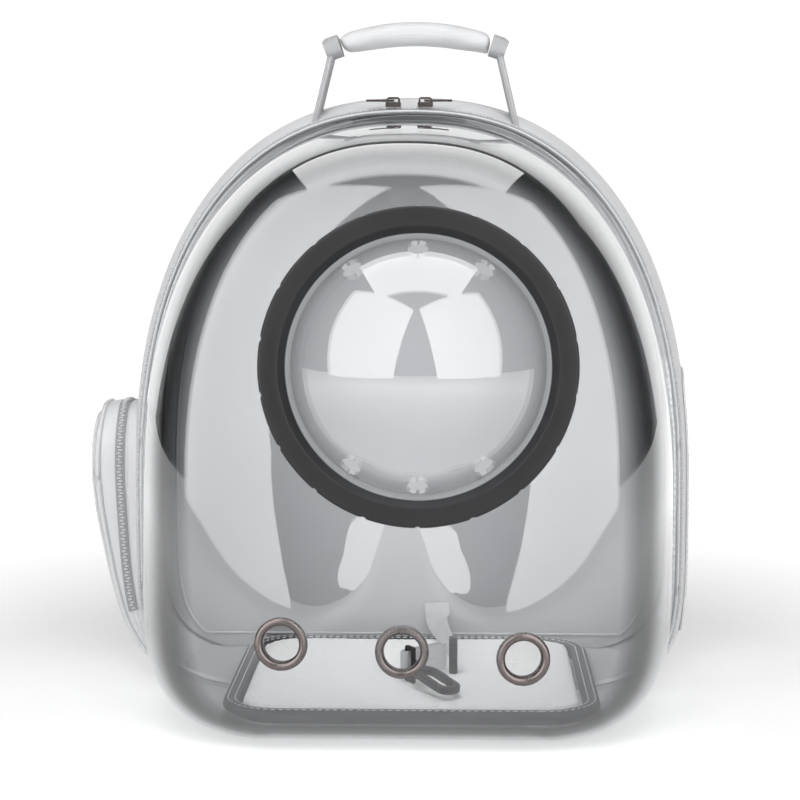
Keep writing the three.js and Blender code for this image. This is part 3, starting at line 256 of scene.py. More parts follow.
def small_block(name, size, bevel=0.0, segments=1):
    """A rounded block about the origin, in metres."""
    deselect()
    bpy.ops.mesh.primitive_cube_add(size=1)
    obj = named(name)
    obj.data.transform(Matrix.Diagonal((*(side * MM for side in size), 1)))
    if bevel:
        modify(obj, "BEVEL", width=bevel * MM, segments=segments)
    return obj


def blend_rows(rows, at):
    """Smooth value at a place, from a table of place and value."""
    if at <= rows[0][0]:
        return rows[0][1]
    for index in range(1, len(rows)):
        if at <= rows[index][0]:
            (x0, y0), (x1, y1) = rows[index - 1], rows[index]
            before = rows[max(index - 2, 0)]
            after = rows[min(index + 1, len(rows) - 1)]
            slope0 = (y1 - before[1]) / max(x1 - before[0], TINY)
            slope1 = (after[1] - y0) / max(after[0] - x0, TINY)
            span = x1 - x0
            t = (at - x0) / span
            return (
                (2 * t**3 - 3 * t**2 + 1) * y0 + (t**3 - 2 * t**2 + t) * span * slope0
                + (3 * t**2 - 2 * t**3) * y1 + (t**3 - t**2) * span * slope1)
    return rows[-1][1]


# The body's outline

def signed_power(value, power):
    return math.copysign(abs(value) ** power, value)


def spread(fine, steps):
    """Points spread by length and turn along a closed line whose last point is its first."""
    measure = [0.0]
    last = None
    for a, b in zip(fine, fine[1:]):
        step = (b[0] - a[0], b[1] - a[1])
        length = math.hypot(*step)
        turn = 0.0
        if length > SMALL:
            heading = math.atan2(step[1], step[0])
            if last is not None:
                turn = abs((heading - last + math.pi) % (2 * math.pi) - math.pi)
            last = heading
        measure.append(measure[-1] + length + CORNER_CARE * turn)
    points = []
    at = 1
    for k in range(steps):
        wanted = measure[-1] * k / steps
        while measure[at] < wanted:
            at += 1
        share = (wanted - measure[at - 1]) / max(measure[at] - measure[at - 1], TINY)
        a, b = fine[at - 1], fine[at]
        points.append((a[0] + (b[0] - a[0]) * share, a[1] + (b[1] - a[1]) * share))
    return points


FINE_STEPS = 1440
outline_store = {}


def outline(grow, floor=0.0, steps=192):
    """Outline of the body as seen from the front, from the bottom middle round by the right."""
    key = (round(grow, 4), round(floor, 4), steps)
    if key not in outline_store:
        fine = []
        base_reach = WIDEST + BASE_SINK + max(grow, 0)
        for k in range(FINE_STEPS + 1):
            angle = -math.pi / 2 + 2 * math.pi * k / FINE_STEPS
            across, along = math.cos(angle), math.sin(angle)
            power = ARCH_POWER if along >= 0 else BASE_POWER
            reach = BODY_HEIGHT - WIDEST + grow if along >= 0 else base_reach
            x = (BODY_WIDTH / 2 + grow) * signed_power(across, 2 / power)
            z = WIDEST + reach * signed_power(along, 2 / power)
            fine.append((x, max(z, floor)))
        fine[0] = (0.0, fine[0][1])
        fine[-1] = fine[0]
        outline_store[key] = spread(fine, steps)
    return outline_store[key]


def half_width(z, grow):
    if z >= WIDEST:
        share = min((z - WIDEST) / (BODY_HEIGHT - WIDEST + grow), 1)
        return (BODY_WIDTH / 2 + grow) * (1 - share**ARCH_POWER) ** (1 / ARCH_POWER)
    share = min((WIDEST - z) / (WIDEST + BASE_SINK + max(grow, 0)), 1)
    return (BODY_WIDTH / 2 + grow) * (1 - share**BASE_POWER) ** (1 / BASE_POWER)


def top_at(x, grow):
    share = min(abs(x) / (BODY_WIDTH / 2 + grow), 1)
    return WIDEST + (BODY_HEIGHT - WIDEST + grow) * (1 - share**ARCH_POWER) ** (1 / ARCH_POWER)


BAND_ROWS = [(0, 0.05), (0.12, 0.6), (0.42, 1), (0.78, 0.85), (1, 0.35)]


def band_grow(y):
    share = min(max((y - BAND_FRONT) / (BODY_DEPTH - BAND_FRONT), 0), 1)
    return BAND_BULGE * blend_rows(BAND_ROWS, share)


def band_ring(y, grow, floor=0.0):
    return [put(x, y, z) for x, z in outline(grow, floor)]


# The clear shell's face

def draw_in(share, power):
    return max(1 - share**power, 0) ** (1 / power)


def shell_depth(z):
    return DEPTH_LOW + (DEPTH_TOP - DEPTH_LOW) * z / BODY_HEIGHT


def draw_sides(share, above):
    """How far the shell has drawn in across and along at a share of its depth."""
    taper = 1 - DRAFT * share
    along = draw_in(share, TOP_POWER) * taper if above else draw_in(share, FOOT_POWER)
    return draw_in(share, SIDE_POWER) * taper, along


def shell_ring(share):
    ring = []
    for x, z in outline(-LIP):
        across, along = draw_sides(share, z > FACE_MIDDLE)
        ring.append(put(x * across, -shell_depth(z) * share, FACE_MIDDLE + (z - FACE_MIDDLE) * along))
    return ring


HALVINGS = 40


def shell_face(x, z):
    """Distance of the shell's face in front of the zip line."""
    low, high = 0.0, 1.0
    for _ in range(HALVINGS):
        share = (low + high) / 2
        across, along = draw_sides(share, z > FACE_MIDDLE)
        rim_z = FACE_MIDDLE + (z - FACE_MIDDLE) / max(along, SMALL)
        on_height = 0 < rim_z < BODY_HEIGHT - LIP
        inside = on_height and abs(x) / max(across, SMALL) < half_width(rim_z, -LIP)
        low, high = (share, high) if inside else (low, share)
    return shell_depth(z) * low


def shell_normal(x, z, reach=6.0):
    across = (shell_face(x + reach, z) - shell_face(x - reach, z)) / (2 * reach)
    along = (shell_face(x, z + reach) - shell_face(x, z - reach)) / (2 * reach)
    return Vector((-across, -1, -along)).normalized()


WINDOW_X = (WINDOW_HEIGHT - VENT_HEIGHT) * math.sin(SHELL_TURN)
LEAN = math.atan((DEPTH_LOW - DEPTH_TOP) / BODY_HEIGHT)
WINDOW_AXIS = Vector((0, -math.cos(LEAN), math.sin(LEAN)))


def window_place():
    y = -shell_face(WINDOW_X, WINDOW_HEIGHT)
    proud = WINDOW_AXIS * SEAT_PROUD
    return place_at(WINDOW_X, y + proud.y, WINDOW_HEIGHT + proud.z, WINDOW_AXIS)


def vent_places():
    places = []
    for step in (-1, 0, 1):
        x = step * VENT_SPACING * math.cos(SHELL_TURN)
        z = VENT_HEIGHT - step * VENT_SPACING * math.sin(SHELL_TURN)
        places.append(place_at(x, -shell_face(x, z), z, shell_normal(x, z)))
    return places


# Materials

class Look:
    """A material in the making: its nodes, its links and its shader."""

    def __init__(self, name):
        self.material = bpy.data.materials.new(name)
        self.material.use_nodes = True
        self.nodes = self.material.node_tree.nodes
        self.links = self.material.node_tree.links
        self.nodes.clear()
        self.output = self.nodes.new("ShaderNodeOutputMaterial")
        self.shader = self.nodes.new("ShaderNodeBsdfPrincipled")
        self.links.new(self.shader.outputs["BSDF"], self.output.inputs["Surface"])

    def feed(self, socket, value):
        """Link a socket to its source, or set its value."""
        if isinstance(value, bpy.types.NodeSocket):
            self.links.new(value, socket)
        else:
            socket.default_value = value

    def node(self, kind, **values):
        node = self.nodes.new(kind)
        for key, value in values.items():
            self.feed(node.inputs[key.replace("_", " ")], value)
        return node

    def finish(self, **values):
        """Feed the shader and hand over the material."""
        for key, value in values.items():
            self.feed(self.shader.inputs[key.replace("_", " ")], value)
        return self.material

    def mapped(self, kind="Object", scale=(1, 1, 1)):
        """Texture coordinates through a mapping; Object reads metres, UV the piece's own map."""
        source = self.nodes.new("ShaderNodeTexCoord")
        mapping = self.node("ShaderNodeMapping", Vector=source.outputs[kind], Scale=scale)
        return mapping.outputs["Vector"]

    def noise(self, vector, scale, detail=2.0):
        return self.node("ShaderNodeTexNoise", Vector=vector, Scale=scale, Detail=detail).outputs["Fac"]

    def wave(self, vector, scale, direction):
        node = self.node("ShaderNodeTexWave", Vector=vector, Scale=scale)
        node.bands_direction = direction
        return node.outputs["Fac"]

    def calculate(self, operation, *values):
        node = self.nodes.new("ShaderNodeMath")
        node.operation = operation
        for socket, value in zip(node.inputs, values):
            self.feed(socket, value)
        return node.outputs[0]

    def plus(self, first, second):
        return self.calculate("ADD", first, second)

    def times(self, first, second):
        return self.calculate("MULTIPLY", first, second)

    def tinted(self, factor, dark, light):
        ramp = self.node("ShaderNodeValToRGB", Fac=factor)
        ramp.color_ramp.elements[0].color = (*dark, 1)
        ramp.color_ramp.elements[1].color = (*light, 1)
        return ramp.outputs["Color"]

    def raised(self, height, strength, distance):
        """Fine relief, its distance in millimetres."""
        bump = self.node("ShaderNodeBump", Height=height, Strength=strength, Distance=distance * MM)
        self.finish(Normal=bump.outputs["Normal"])


def shade(colour, factor):
    return tuple(channel * factor for channel in colour)


def leather_cloth(name, colour):
    """Smooth coated cloth with a fine pebble grain and faint soft creases."""
    look = Look(name)
    vector = look.mapped()
    cells = look.node("ShaderNodeTexVoronoi", Vector=vector, Scale=900.0)
    pebbles = look.times(cells.outputs["Distance"], 0.3)
    look.raised(look.plus(pebbles, look.noise(vector, 26.0, 3.0)), 0.35, 0.25)
    tone = look.tinted(look.noise(vector, 9.0), shade(colour, 0.93), colour)
    return look.finish(Base_Color=tone, Roughness=0.5)


WAVE_SCALE = 3.14


def woven_cloth(name, colour, thread=0.9, roughness=0.85, depth=0.12, painted_gap_shade=0.86):
    """Plain weave: two sets of threads across each other, thread in millimetres."""
    look = Look(name)
    vector = look.mapped()
    per_metre = 1000.0 / thread / (2 * math.pi) * WAVE_SCALE
    warp, weft, third = (look.wave(vector, per_metre, direction) for direction in "XZY")
    threads = look.calculate("MAXIMUM", look.calculate("MAXIMUM", warp, weft), third)
    look.raised(threads, 0.4, depth)
    # Colour follows the threads' relief: darker in the gaps between them, which is painted shade, mottled
    # at random by noise
    mixed = look.times(threads, look.plus(look.noise(vector, 30.0, 3.0), 0.4))
    tone = look.tinted(mixed, shade(colour, painted_gap_shade), colour)
    return look.finish(Base_Color=tone, Roughness=roughness, Sheen_Weight=0.15, Sheen_Roughness=0.5)


RIB_SCALE = 3.1


def ribbed_webbing(name, colour, ribs=9.0, picks=60.0, roughness=0.75, dark=0.78):
    """Webbing on its own map: u runs across the strap's section, and v along it."""
    look = Look(name)
    along = look.wave(look.mapped("UV", (1, picks, 1)), RIB_SCALE, "Y")
    across = look.wave(look.mapped("UV", (ribs, 1, 1)), RIB_SCALE, "X")
    both = look.times(look.plus(along, across), 0.5)
    look.raised(both, 0.6, 0.5)
    fuzz = look.noise(look.mapped(), 900.0)
    # Colour follows the ribs' relief: darker in the grooves, which is painted shade, with a little random
    # fuzz; dark sets the grooves' colour
    tone = look.plus(look.times(both, 0.8), look.times(fuzz, 0.2))
    tone = look.tinted(tone, shade(colour, dark), colour)
    return look.finish(Base_Color=tone, Roughness=roughness, Sheen_Weight=0.1)


def deep_pile(name, colour):
    """Short fleece: soft clumps with a fuzzy edge."""
    look = Look(name)
    vector = look.mapped()
    height = look.plus(look.noise(vector, 420.0, 4.0), look.noise(vector, 90.0, 3.0))
    look.raised(height, 0.9, 1.2)
    # Colour follows the pile's height: darker low down between the clumps, which is painted shade
    tone = look.tinted(look.times(height, 0.55), shade(colour, 0.93), colour)
    return look.finish(Base_Color=tone, Roughness=0.95, Sheen_Weight=0.5, Sheen_Roughness=0.6)


def moulded_plastic(name, colour, roughness, shine=0.5):
    look = Look(name)
    vector = look.mapped()
    smears = look.noise(vector, 30.0, 3.0)
    look.raised(look.noise(vector, 1400.0), 0.12, 0.05)
    tone = look.tinted(smears, colour, shade(colour, 1.25))
    rough = look.plus(look.times(smears, 0.12), roughness - 0.06)
    return look.finish(Base_Color=tone, Roughness=rough, Specular_IOR_Level=shine)


def plated_metal(name, colour):
    look = Look(name)
    vector = look.mapped()
    scuffs = look.noise(vector, 260.0, 4.0)
    look.raised(scuffs, 0.05, 0.05)
    tone = look.tinted(look.noise(vector, 40.0), shade(colour, 0.85), shade(colour, 1.1))
    rough = look.plus(look.times(scuffs, 0.15), 0.21)
    return look.finish(Base_Color=tone, Roughness=rough, Metallic=1.0)


MIRROR_MOST = 0.9


def clear_plastic(name, mirror, rise, stops):
    """Thin clear sheet: see-through straight on, darker by tint and painted shade where it bends away,
    mirror-like at a glance.
    """
    look = Look(name)
    vector = look.mapped()
    look.raised(look.noise(vector, 9.0, 1.0), 0.06, 0.3)
    look.finish(Base_Color=(0.95, 0.955, 0.96, 1), Roughness=0.02, Metallic=1.0)
    facing = look.node("ShaderNodeLayerWeight", Blend=0.5).outputs["Facing"]
    # Its see-through colour by how far it turns from the eye: a smoky tint, and where the stops dip,
    # painted shade as a dark band
    tint = look.node("ShaderNodeValToRGB", Fac=facing)
    ramp = tint.color_ramp.elements
    while len(ramp) < len(stops):
        ramp.new(0.5)
    for element, (place, _) in zip(ramp, stops):
        element.position = place
    for element, (_, level) in zip(ramp, stops):
        element.color = (level * 0.99, level * 0.995, level, 1)
    clear = look.node("ShaderNodeBsdfTransparent", Color=tint.outputs["Color"])
    smear = look.times(look.noise(vector, 20.0, 3.0), 0.01)
    glancing = look.times(look.calculate("POWER", facing, rise), MIRROR_MOST - mirror)
    mix = look.node("ShaderNodeMixShader", Fac=look.plus(look.plus(glancing, smear), mirror))
    look.feed(mix.inputs[1], clear.outputs["BSDF"])
    look.feed(mix.inputs[2], look.shader.outputs["BSDF"])
    look.feed(look.output.inputs["Surface"], mix.outputs["Shader"])
    return look.material


WHITE = (0.69, 0.695, 0.705)

# What the clear sheet lets through, by how far it turns away from the eye; the shell's dip to 0.3 near
# 0.54 is painted shade, a dark band
SHELL_TINT_AND_PAINTED_SHADE = [(0.0, 0.95), (0.24, 0.93), (0.4, 0.5), (0.54, 0.3), (0.68, 0.66), (0.85, 0.9), (1.0, 0.8)]
BUBBLE_STOPS = [(0.0, 0.97), (0.4, 0.95), (0.7, 0.85), (1.0, 0.6)]

SHELL_CLEAR = clear_plastic("smoky_clear", 0.05, 2.8, SHELL_TINT_AND_PAINTED_SHADE)
BUBBLE_CLEAR = clear_plastic("bubble_clear", 0.06, 3.6, BUBBLE_STOPS)
WHITE_LEATHER = leather_cloth("white_coated_cloth", WHITE)
LINING = woven_cloth("grey_lining_cloth", (0.34, 0.344, 0.355), 1.1)
INNER_WALL = woven_cloth("pale_inner_cloth", (0.47, 0.474, 0.482), 0.7, 0.85, 0.05, 0.97)
TAPE = woven_cloth("zip_tape_weave", (0.34, 0.345, 0.36), 0.8)
TEETH = moulded_plastic("zip_teeth_plastic", (0.5, 0.505, 0.52), 0.45)
NET = moulded_plastic("net_thread", (0.8, 0.805, 0.815), 0.6)
WEBBING = ribbed_webbing("pale_webbing", (0.74, 0.745, 0.76))
PILE = deep_pile("white_fleece", (0.93, 0.926, 0.92))
BINDING = woven_cloth("dark_binding_weave", (0.04, 0.041, 0.044), 0.7, 0.8)
BLACK = moulded_plastic("satin_black", (0.012, 0.012, 0.013), 0.42, 0.28)
METAL = plated_metal("dark_plating", (0.15, 0.128, 0.124))
THREAD = moulded_plastic("sewing_thread", (0.62, 0.625, 0.64), 0.7)


def paint(obj, *materials):
    obj.data.materials.clear()
    for material in materials:
        obj.data.materials.append(material)
    return obj


def dress(obj, slot, *nodes, body="bag"):
    """Let a piece ride on its body and stand for its nodes; the slot argument is not used."""
    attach(obj, body)
    if nodes:
        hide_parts(*nodes)
    return obj


def complete(obj, degrees, material, slot, *nodes, body="bag"):
    """Smooth a piece, paint it and dress it."""
    smooth(obj, degrees)
    paint(obj, material)
    return dress(obj, slot, *nodes, body=body)


# Studio and camera

CAMERA_AWAY = 1204.0
CAMERA_HEIGHT = 305.0
CAMERA_ASIDE = 29.4
CAMERA_PITCH = math.radians(6.05)
CAMERA_YAW = math.radians(1.656)
FOCAL_PIXELS = 2018.0
FRAME_PIXELS = 800.0
SENSOR = 36.0


def make_camera():
    data = bpy.data.cameras.new("camera")
    data.sensor_width = SENSOR
    data.lens = FOCAL_PIXELS / FRAME_PIXELS * SENSOR
    data.clip_start = 0.05
    camera = bpy.data.objects.new("camera", data)
    camera.location = put(CAMERA_ASIDE, -CAMERA_AWAY, CAMERA_HEIGHT)
    camera.rotation_euler = (math.pi / 2 - CAMERA_PITCH, 0, CAMERA_YAW)
    bpy.context.scene.collection.objects.link(camera)
    bpy.context.scene.camera = camera


LAMP_GLOW = 3.3                 # brightness of the lamps that light the bag, where 1 is white
CARD_GLOW = 3.3                 # brightness of the softboxes' faces as the clear plastic mirrors them
SIDE_LAMPS = 0.42               # the side lamps' share of that brightness
CABIN_GLOW = 6.5                # small lamp inside, for the mat
ROOM_GLOW = 0.05                # the room as reflections and light see it
BACKDROP_GLOW = 1.05            # the room as the camera sees it
BACK_CARD_GLOW = 1.1
FLOOR_LIFT = 0.3                # glow of the floor under the bag; further off it is white
STUDIO_MIDDLE = Vector((0, 0, 0.2))


def dress_world(nodes, links):
    """A white backdrop for the camera, and a dark room for reflections."""
    room = nodes["Background"]
    room.inputs["Color"].default_value = (1, 1, 1, 1)
    room.inputs["Strength"].default_value = ROOM_GLOW
    backdrop = nodes.new("ShaderNodeBackground")
    backdrop.inputs["Color"].default_value = (1, 1, 1, 1)
    backdrop.inputs["Strength"].default_value = BACKDROP_GLOW
    path = nodes.new("ShaderNodeLightPath")
    mix = nodes.new("ShaderNodeMixShader")
    links.new(path.outputs["Is Camera Ray"], mix.inputs["Fac"])
    links.new(room.outputs["Background"], mix.inputs[1])
    links.new(backdrop.outputs["Background"], mix.inputs[2])
    links.new(mix.outputs["Shader"], nodes["World Output"].inputs["Surface"])


def lamp(name, place, width, height, glow, target=STUDIO_MIDDLE):
    """Area lamp that lights the bag; cards stand for it in reflections."""
    data = bpy.data.lights.new(name, "AREA")
    data.shape = "RECTANGLE"
    data.size = width
    data.size_y = height
    data.energy = glow * math.pi * width * height
    light = bpy.data.objects.new(name, data)
    light.location = place
    heading = target - Vector(place)
    light.rotation_euler = heading.to_track_quat("-Z", "Y").to_euler()
    light.visible_camera = False
    light.visible_glossy = False
    bpy.context.scene.collection.objects.link(light)


CARD_AWAY = 2.0


def card(name, bearing, rise, wide, high, glow):
    """Glowing card, seen in reflections only; its angles are degrees from the camera's side."""
    away = CARD_AWAY
    deselect()
    bpy.ops.mesh.primitive_plane_add(size=1)
    face = named(name)
    sides = (2 * away * math.tan(math.radians(angle / 2)) for angle in (wide, high))
    size = Matrix.Diagonal((*sides, 1, 1))
    turn = math.radians(bearing)
    lift = math.radians(rise)
    level = math.cos(lift)
    direction = Vector((math.sin(turn) * level, -math.cos(turn) * level, math.sin(lift)))
    aim = (-direction).to_track_quat("Z", "Y").to_matrix().to_4x4()
    face.data.transform(Matrix.Translation(STUDIO_MIDDLE + direction * away) @ aim @ size)
    look = Look(name)
    paint(face, look.finish(
        Base_Color=(0, 0, 0, 1), Emission_Color=(1, 1, 1, 1), Emission_Strength=glow))
    face.visible_camera = False
    face.visible_diffuse = False
    face.visible_transmission = False
    face.visible_shadow = False
    face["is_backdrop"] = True


def make_studio():
    deselect()
    bpy.ops.mesh.primitive_plane_add(size=8)
    floor = named("studio_floor")
    look = Look("pale_floor")
    faint = look.noise(look.mapped(), 3.0, 1.0)
    away = look.nodes.new("ShaderNodeVectorMath")
    away.operation = "LENGTH"
    look.feed(away.inputs[0], look.mapped())
    lift = look.node("ShaderNodeMapRange", Value=away.outputs["Value"], From_Min=0.3, From_Max=0.9,
                     To_Min=FLOOR_LIFT, To_Max=1.0)
    paint(floor, look.finish(
        Base_Color=look.tinted(faint, (0.86, 0.86, 0.86), (0.88, 0.88, 0.88)), Roughness=0.7,
        Emission_Color=(1, 1, 1, 1), Emission_Strength=lift.outputs["Result"]))
    floor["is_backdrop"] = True
    world = bpy.data.worlds.new("studio")
    bpy.context.scene.world = world
    world.use_nodes = True
    dress_world(world.node_tree.nodes, world.node_tree.links)
    lamp("top_lamp", (0.0, -0.95, 1.3), 1.1, 1.1, LAMP_GLOW)
    for name, side in (("left_lamp", -1), ("right_lamp", 1)):
        lamp(name, (0.95 * side, -1.1, 0.75), 1.2, 1.2, LAMP_GLOW * SIDE_LAMPS)
    lamp("cabin_lamp", put(0, -62, 300), 0.17, 0.09, CABIN_GLOW, put(0, 0, 10))
    card("left_card", -47, 22, 62, 72, CARD_GLOW)
    card("right_card", 42, 22, 58, 72, CARD_GLOW)
    card("top_card", 0, 96, 62, 60, CARD_GLOW)
    card("back_card", 180, 18, 100, 60, BACK_CARD_GLOW)


make_camera()
make_studio()
bpy.context.scene.view_settings.view_transform = "Standard"


# Clear shell with its window

def clear_shell():
    """Dished sheet with a sewing lip, a window seat, and holes for the window and the vents."""
    lip_rows = [(-1.0, -1.6), (-1.0, -2.0), (-3.0, -2.0), (-4.4, -2.2)]
    rings = [band_ring(y, grow, 0.0) for grow, y in lip_rows]
    rows = 54
    for k in range(1, rows + 1):
        share = 1 - (1 - k / rows) ** 2.4
        rings.append(shell_ring(min(0.02 + 0.98 * share, 1.0)))
    sheet = loft("front_shell_sheet", rings)
    modify(sheet, "SOLIDIFY", thickness=SHELL_WALL * MM, offset=-1)
    window = window_place()
    reach = 60
    cutters = [cylinder("window_hole", RING_RADIUS - 2.5, -reach, reach, window, 128)]
    for place in vent_places():
        cutters.append(cylinder("vent_hole", VENT_HOLE + 1.3, -20, 20, place, 48))
    cut(sheet, cutters)
    outer = RING_RADIUS - GAP
    seat = lathe("window_seat", [
        (outer, -8), (outer, -0.4), (outer - 0.4, 0), (OPENING, 0), (OPENING, -SHELL_WALL),
        (outer - SHELL_WALL, -SHELL_WALL), (outer - SHELL_WALL, -8)], window, 128)
    shell = join([sheet, seat], "front_shell_sheet")
    complete(shell, 35, SHELL_CLEAR, "clear_shell", "front_shell")


def bubble():
    base = OPENING - GAP - DOME_WALL
    sphere = (base**2 + DOME_HEIGHT**2) / (2 * DOME_HEIGHT)
    sweep = math.asin(base / sphere)
    steps = 28

    def arc(radius):
        points = []
        for k in range(steps + 1):
            angle = sweep * (steps - k) / steps
            height = GAP + DOME_HEIGHT - sphere + radius * math.cos(angle)
            points.append((radius * math.sin(angle), height))
        return points

    edge = OPENING + DOME_FLANGE
    outside = [(r, max(h, GAP + DOME_WALL)) for r, h in arc(sphere + DOME_WALL)]
    inside = [(r, max(h, GAP)) for r, h in arc(sphere)][::-1]
    profile = [(edge, GAP), (edge, GAP + DOME_WALL), *outside, *inside]
    window = window_place()
    dome = lathe("bubble_window", profile, window, 128)
    spread_angle = math.radians(34)
    cutters = []
    for middle in (math.pi / 2, -math.pi / 2):
        for step in (-1, 0, 1):
            turn = Matrix.Rotation(middle + step * spread_angle, 4, "Z")
            up = Matrix.Translation((0, 0, GAP + DOME_WALL + 12))
            lie = up @ turn @ Matrix.Rotation(math.pi / 2, 4, "Y")
            cutters.append(cylinder("air_hole", 6.0, base / 2, sphere * 1.4, window @ lie, 32))
    cut(dome, cutters)
    complete(dome, 35, BUBBLE_CLEAR, "clear_bubble", "bubble_dome")


def window_ring():
    soft = 1.6
    clamp_at = OPENING + DOME_FLANGE + GAP
    clamp_height = 2 * GAP + DOME_WALL
    inner = OPENING + GAP
    corner = [(RING_RADIUS - soft + soft * math.cos(a), RING_HEIGHT - soft + soft * math.sin(a))
              for a in (math.pi / 2 * k / 5 for k in range(6))]
    band_in = RING_RADIUS - RING_BAND
    slope_low = clamp_height + RING_HEIGHT / 4
    profile = [
        (clamp_at, GAP), (RING_RADIUS - 0.4, GAP), (RING_RADIUS, GAP + 0.4), *corner,
        (band_in + 0.5, RING_HEIGHT), (band_in, RING_HEIGHT - 0.15), (band_in - 0.5, RING_HEIGHT - 0.6),
        (inner + 0.5, slope_low + 0.4), (inner, slope_low), (inner, clamp_height),
        (clamp_at, clamp_height)]
    window = window_place()
    ring = lathe("window_ring", profile, window, 192)
    notches = 18
    cutters = []
    for k in range(notches):
        turn = Matrix.Rotation(2 * math.pi * (k + 0.5) / notches, 4, "Z")
        notch = small_block("notch", (2.2, 2.6, RING_HEIGHT), 0.5)
        out = Matrix.Translation((RING_RADIUS * MM, 0, (RING_HEIGHT / 2 + 1.2) * MM))
        notch.data.transform(place_frame(window) @ turn @ out)
        cutters.append(notch)
    cut(ring, cutters)
    complete(ring, 30, BLACK, "black_plastic", "bubble_ring")


def grommets():
    neck = VENT_HOLE + 1
    behind = -SHELL_WALL - GAP
    band = VENT_RADIUS - VENT_HOLE
    crown = [(VENT_RADIUS - band * (1 - math.cos(a)) / 2, GAP + 0.5 + 2.5 * math.sin(a))
             for a in (math.pi * k / 12 for k in range(13))]
    profile = [
        (neck, GAP), (VENT_RADIUS, GAP), *crown, (VENT_HOLE, behind - 1.3),
        (VENT_HOLE + 0.3, behind - 1.6), (VENT_RADIUS - 1.3, behind - 1.6),
        (VENT_RADIUS - 1, behind - 1.3), (VENT_RADIUS - 1, behind), (neck, behind)]
    names = ("left", "middle", "right")
    for name, place in zip(names, vent_places()):
        eyelet = lathe(f"eyelet_{name}", profile, place, 72)
        complete(eyelet, 35, METAL, "gunmetal", f"vent_grommet_{name}")


clear_shell()
bubble()
window_ring()
grommets()


# Soft body

ACROSS = Vector((1, 0, 0))


def sweep(name, path, section, closed=False, sideways=None):
    """A section of points (across, up) carried along a path; sideways fixes the section's turn."""
    rings = []
    count = len(path)
    across = sideways
    for index, point in enumerate(path):
        before = path[(index - 1) % count] if closed else path[max(index - 1, 0)]
        after = path[(index + 1) % count] if closed else path[min(index + 1, count - 1)]
        along = (after - before).normalized()
        if sideways is None:
            across = Vector((0, 0, 1)).cross(along)
            across = across.normalized() if across.length > 0.05 else Vector((1, 0, 0))
        side = across(index) if callable(across) else across
        up = along.cross(side).normalized()
        flat = up.cross(along).normalized()
        points = section(index / max(count - 1, 1))
        rings.append([point + flat * (a * MM) + up * (b * MM) for a, b in points])
    if closed:
        rings.append(rings[0])
    else:
        first = sum(rings[0], Vector()) / len(rings[0])
        last = sum(rings[-1], Vector()) / len(rings[-1])
        rings = [[first] * len(rings[0]), *rings, [last] * len(rings[-1])]
    return loft(name, rings)


def circle(radius, sides):
    angles = (2 * math.pi * k / sides for k in range(sides))
    return [(radius * math.cos(angle), radius * math.sin(angle)) for angle in angles]


def superellipse(width, height, power, sides):
    points = []
    for k in range(sides):
        angle = 2 * math.pi * k / sides
        points.append((
            width / 2 * signed_power(math.cos(angle), 2 / power),
            height / 2 * signed_power(math.sin(angle), 2 / power)))
    return points


def tube(name, path, radius, sides=10):
    """A closed round cord."""
    return sweep(name, path, lambda share: circle(radius, sides), closed=True)


def ribbon(name, path, width, height, power, sides, sideways, closed=False):
    """A rounded flat section carried along a path."""
    return sweep(name, path, lambda share: superellipse(width, height, power, sides), closed, sideways)


def smooth_path(points, steps):
    """Points along a Catmull-Rom curve through a few chosen ones."""
    result = []
    last = len(points) - 1
    for k in range(steps + 1):
        at = k * last / steps
        index = min(int(at), last - 1)
        t = at - index
        a, b, c, d = (points[min(max(index + i, 0), last)] for i in (-1, 0, 1, 2))
        bend = (2 * a - 5 * b + 4 * c - d) * t * t
        result.append(0.5 * (2 * b + (c - a) * t + bend + (3 * b - a - 3 * c + d) * t**3))
    return result


def walk(path, pitch, length):
    """Even steps along a path: their number, the two points about each and its share between them."""
    travelled = 0.0
    number = 0
    for a, b in zip(path, path[1:]):
        step = length(a, b)
        while number * pitch < travelled + step:
            yield number, a, b, (number * pitch - travelled) / max(step, TINY)
            number += 1
        travelled += step


def millimetres(a, b):
    return (b - a).length / MM


# The side window in the band
MESH_FRONT, MESH_BACK, MESH_LOW, MESH_TOP, MESH_CORNER = 26.0, 88.0, 34.0, 188.0, 14.0


def body_band():
    """Padded band round the body, with its window, and the pale wall inside it."""
    rows = 26
    rings = []
    for k in range(rows + 1):
        y = BAND_FRONT + (BODY_DEPTH - BAND_FRONT) * k / rows
        rings.append(band_ring(y, band_grow(y)))
    band = loft("body_band", rings)
    paint(band, WHITE_LEATHER, INNER_WALL)
    modify(band, "SOLIDIFY", thickness=BAND_WALL * MM, offset=-1, material_offset=1)
    window = small_block("window_cutter", (120, MESH_BACK - MESH_FRONT, MESH_TOP - MESH_LOW))
    activate(window)
    bpy.ops.object.mode_set(mode="EDIT")
    bpy.ops.mesh.select_all(action="DESELECT")
    bpy.ops.object.mode_set(mode="OBJECT")
    for edge in window.data.edges:
        a, b = (window.data.vertices[i].co for i in edge.vertices)
        edge.select = abs(a.x - b.x) > 0.05
    bpy.ops.object.mode_set(mode="EDIT")
    bpy.ops.mesh.bevel(offset=MESH_CORNER * MM, segments=8)
    bpy.ops.object.mode_set(mode="OBJECT")
    middle = put(BODY_WIDTH / 2, (MESH_FRONT + MESH_BACK) / 2, (MESH_LOW + MESH_TOP) / 2)
    window.data.transform(Matrix.Translation(middle))
    cut(band, [window])
    smooth(band, 40)
    dress(band, "white_cloth", "side_band")


TOOTH_PITCH = 1.9
LOWEST_TOOTH = 6.0


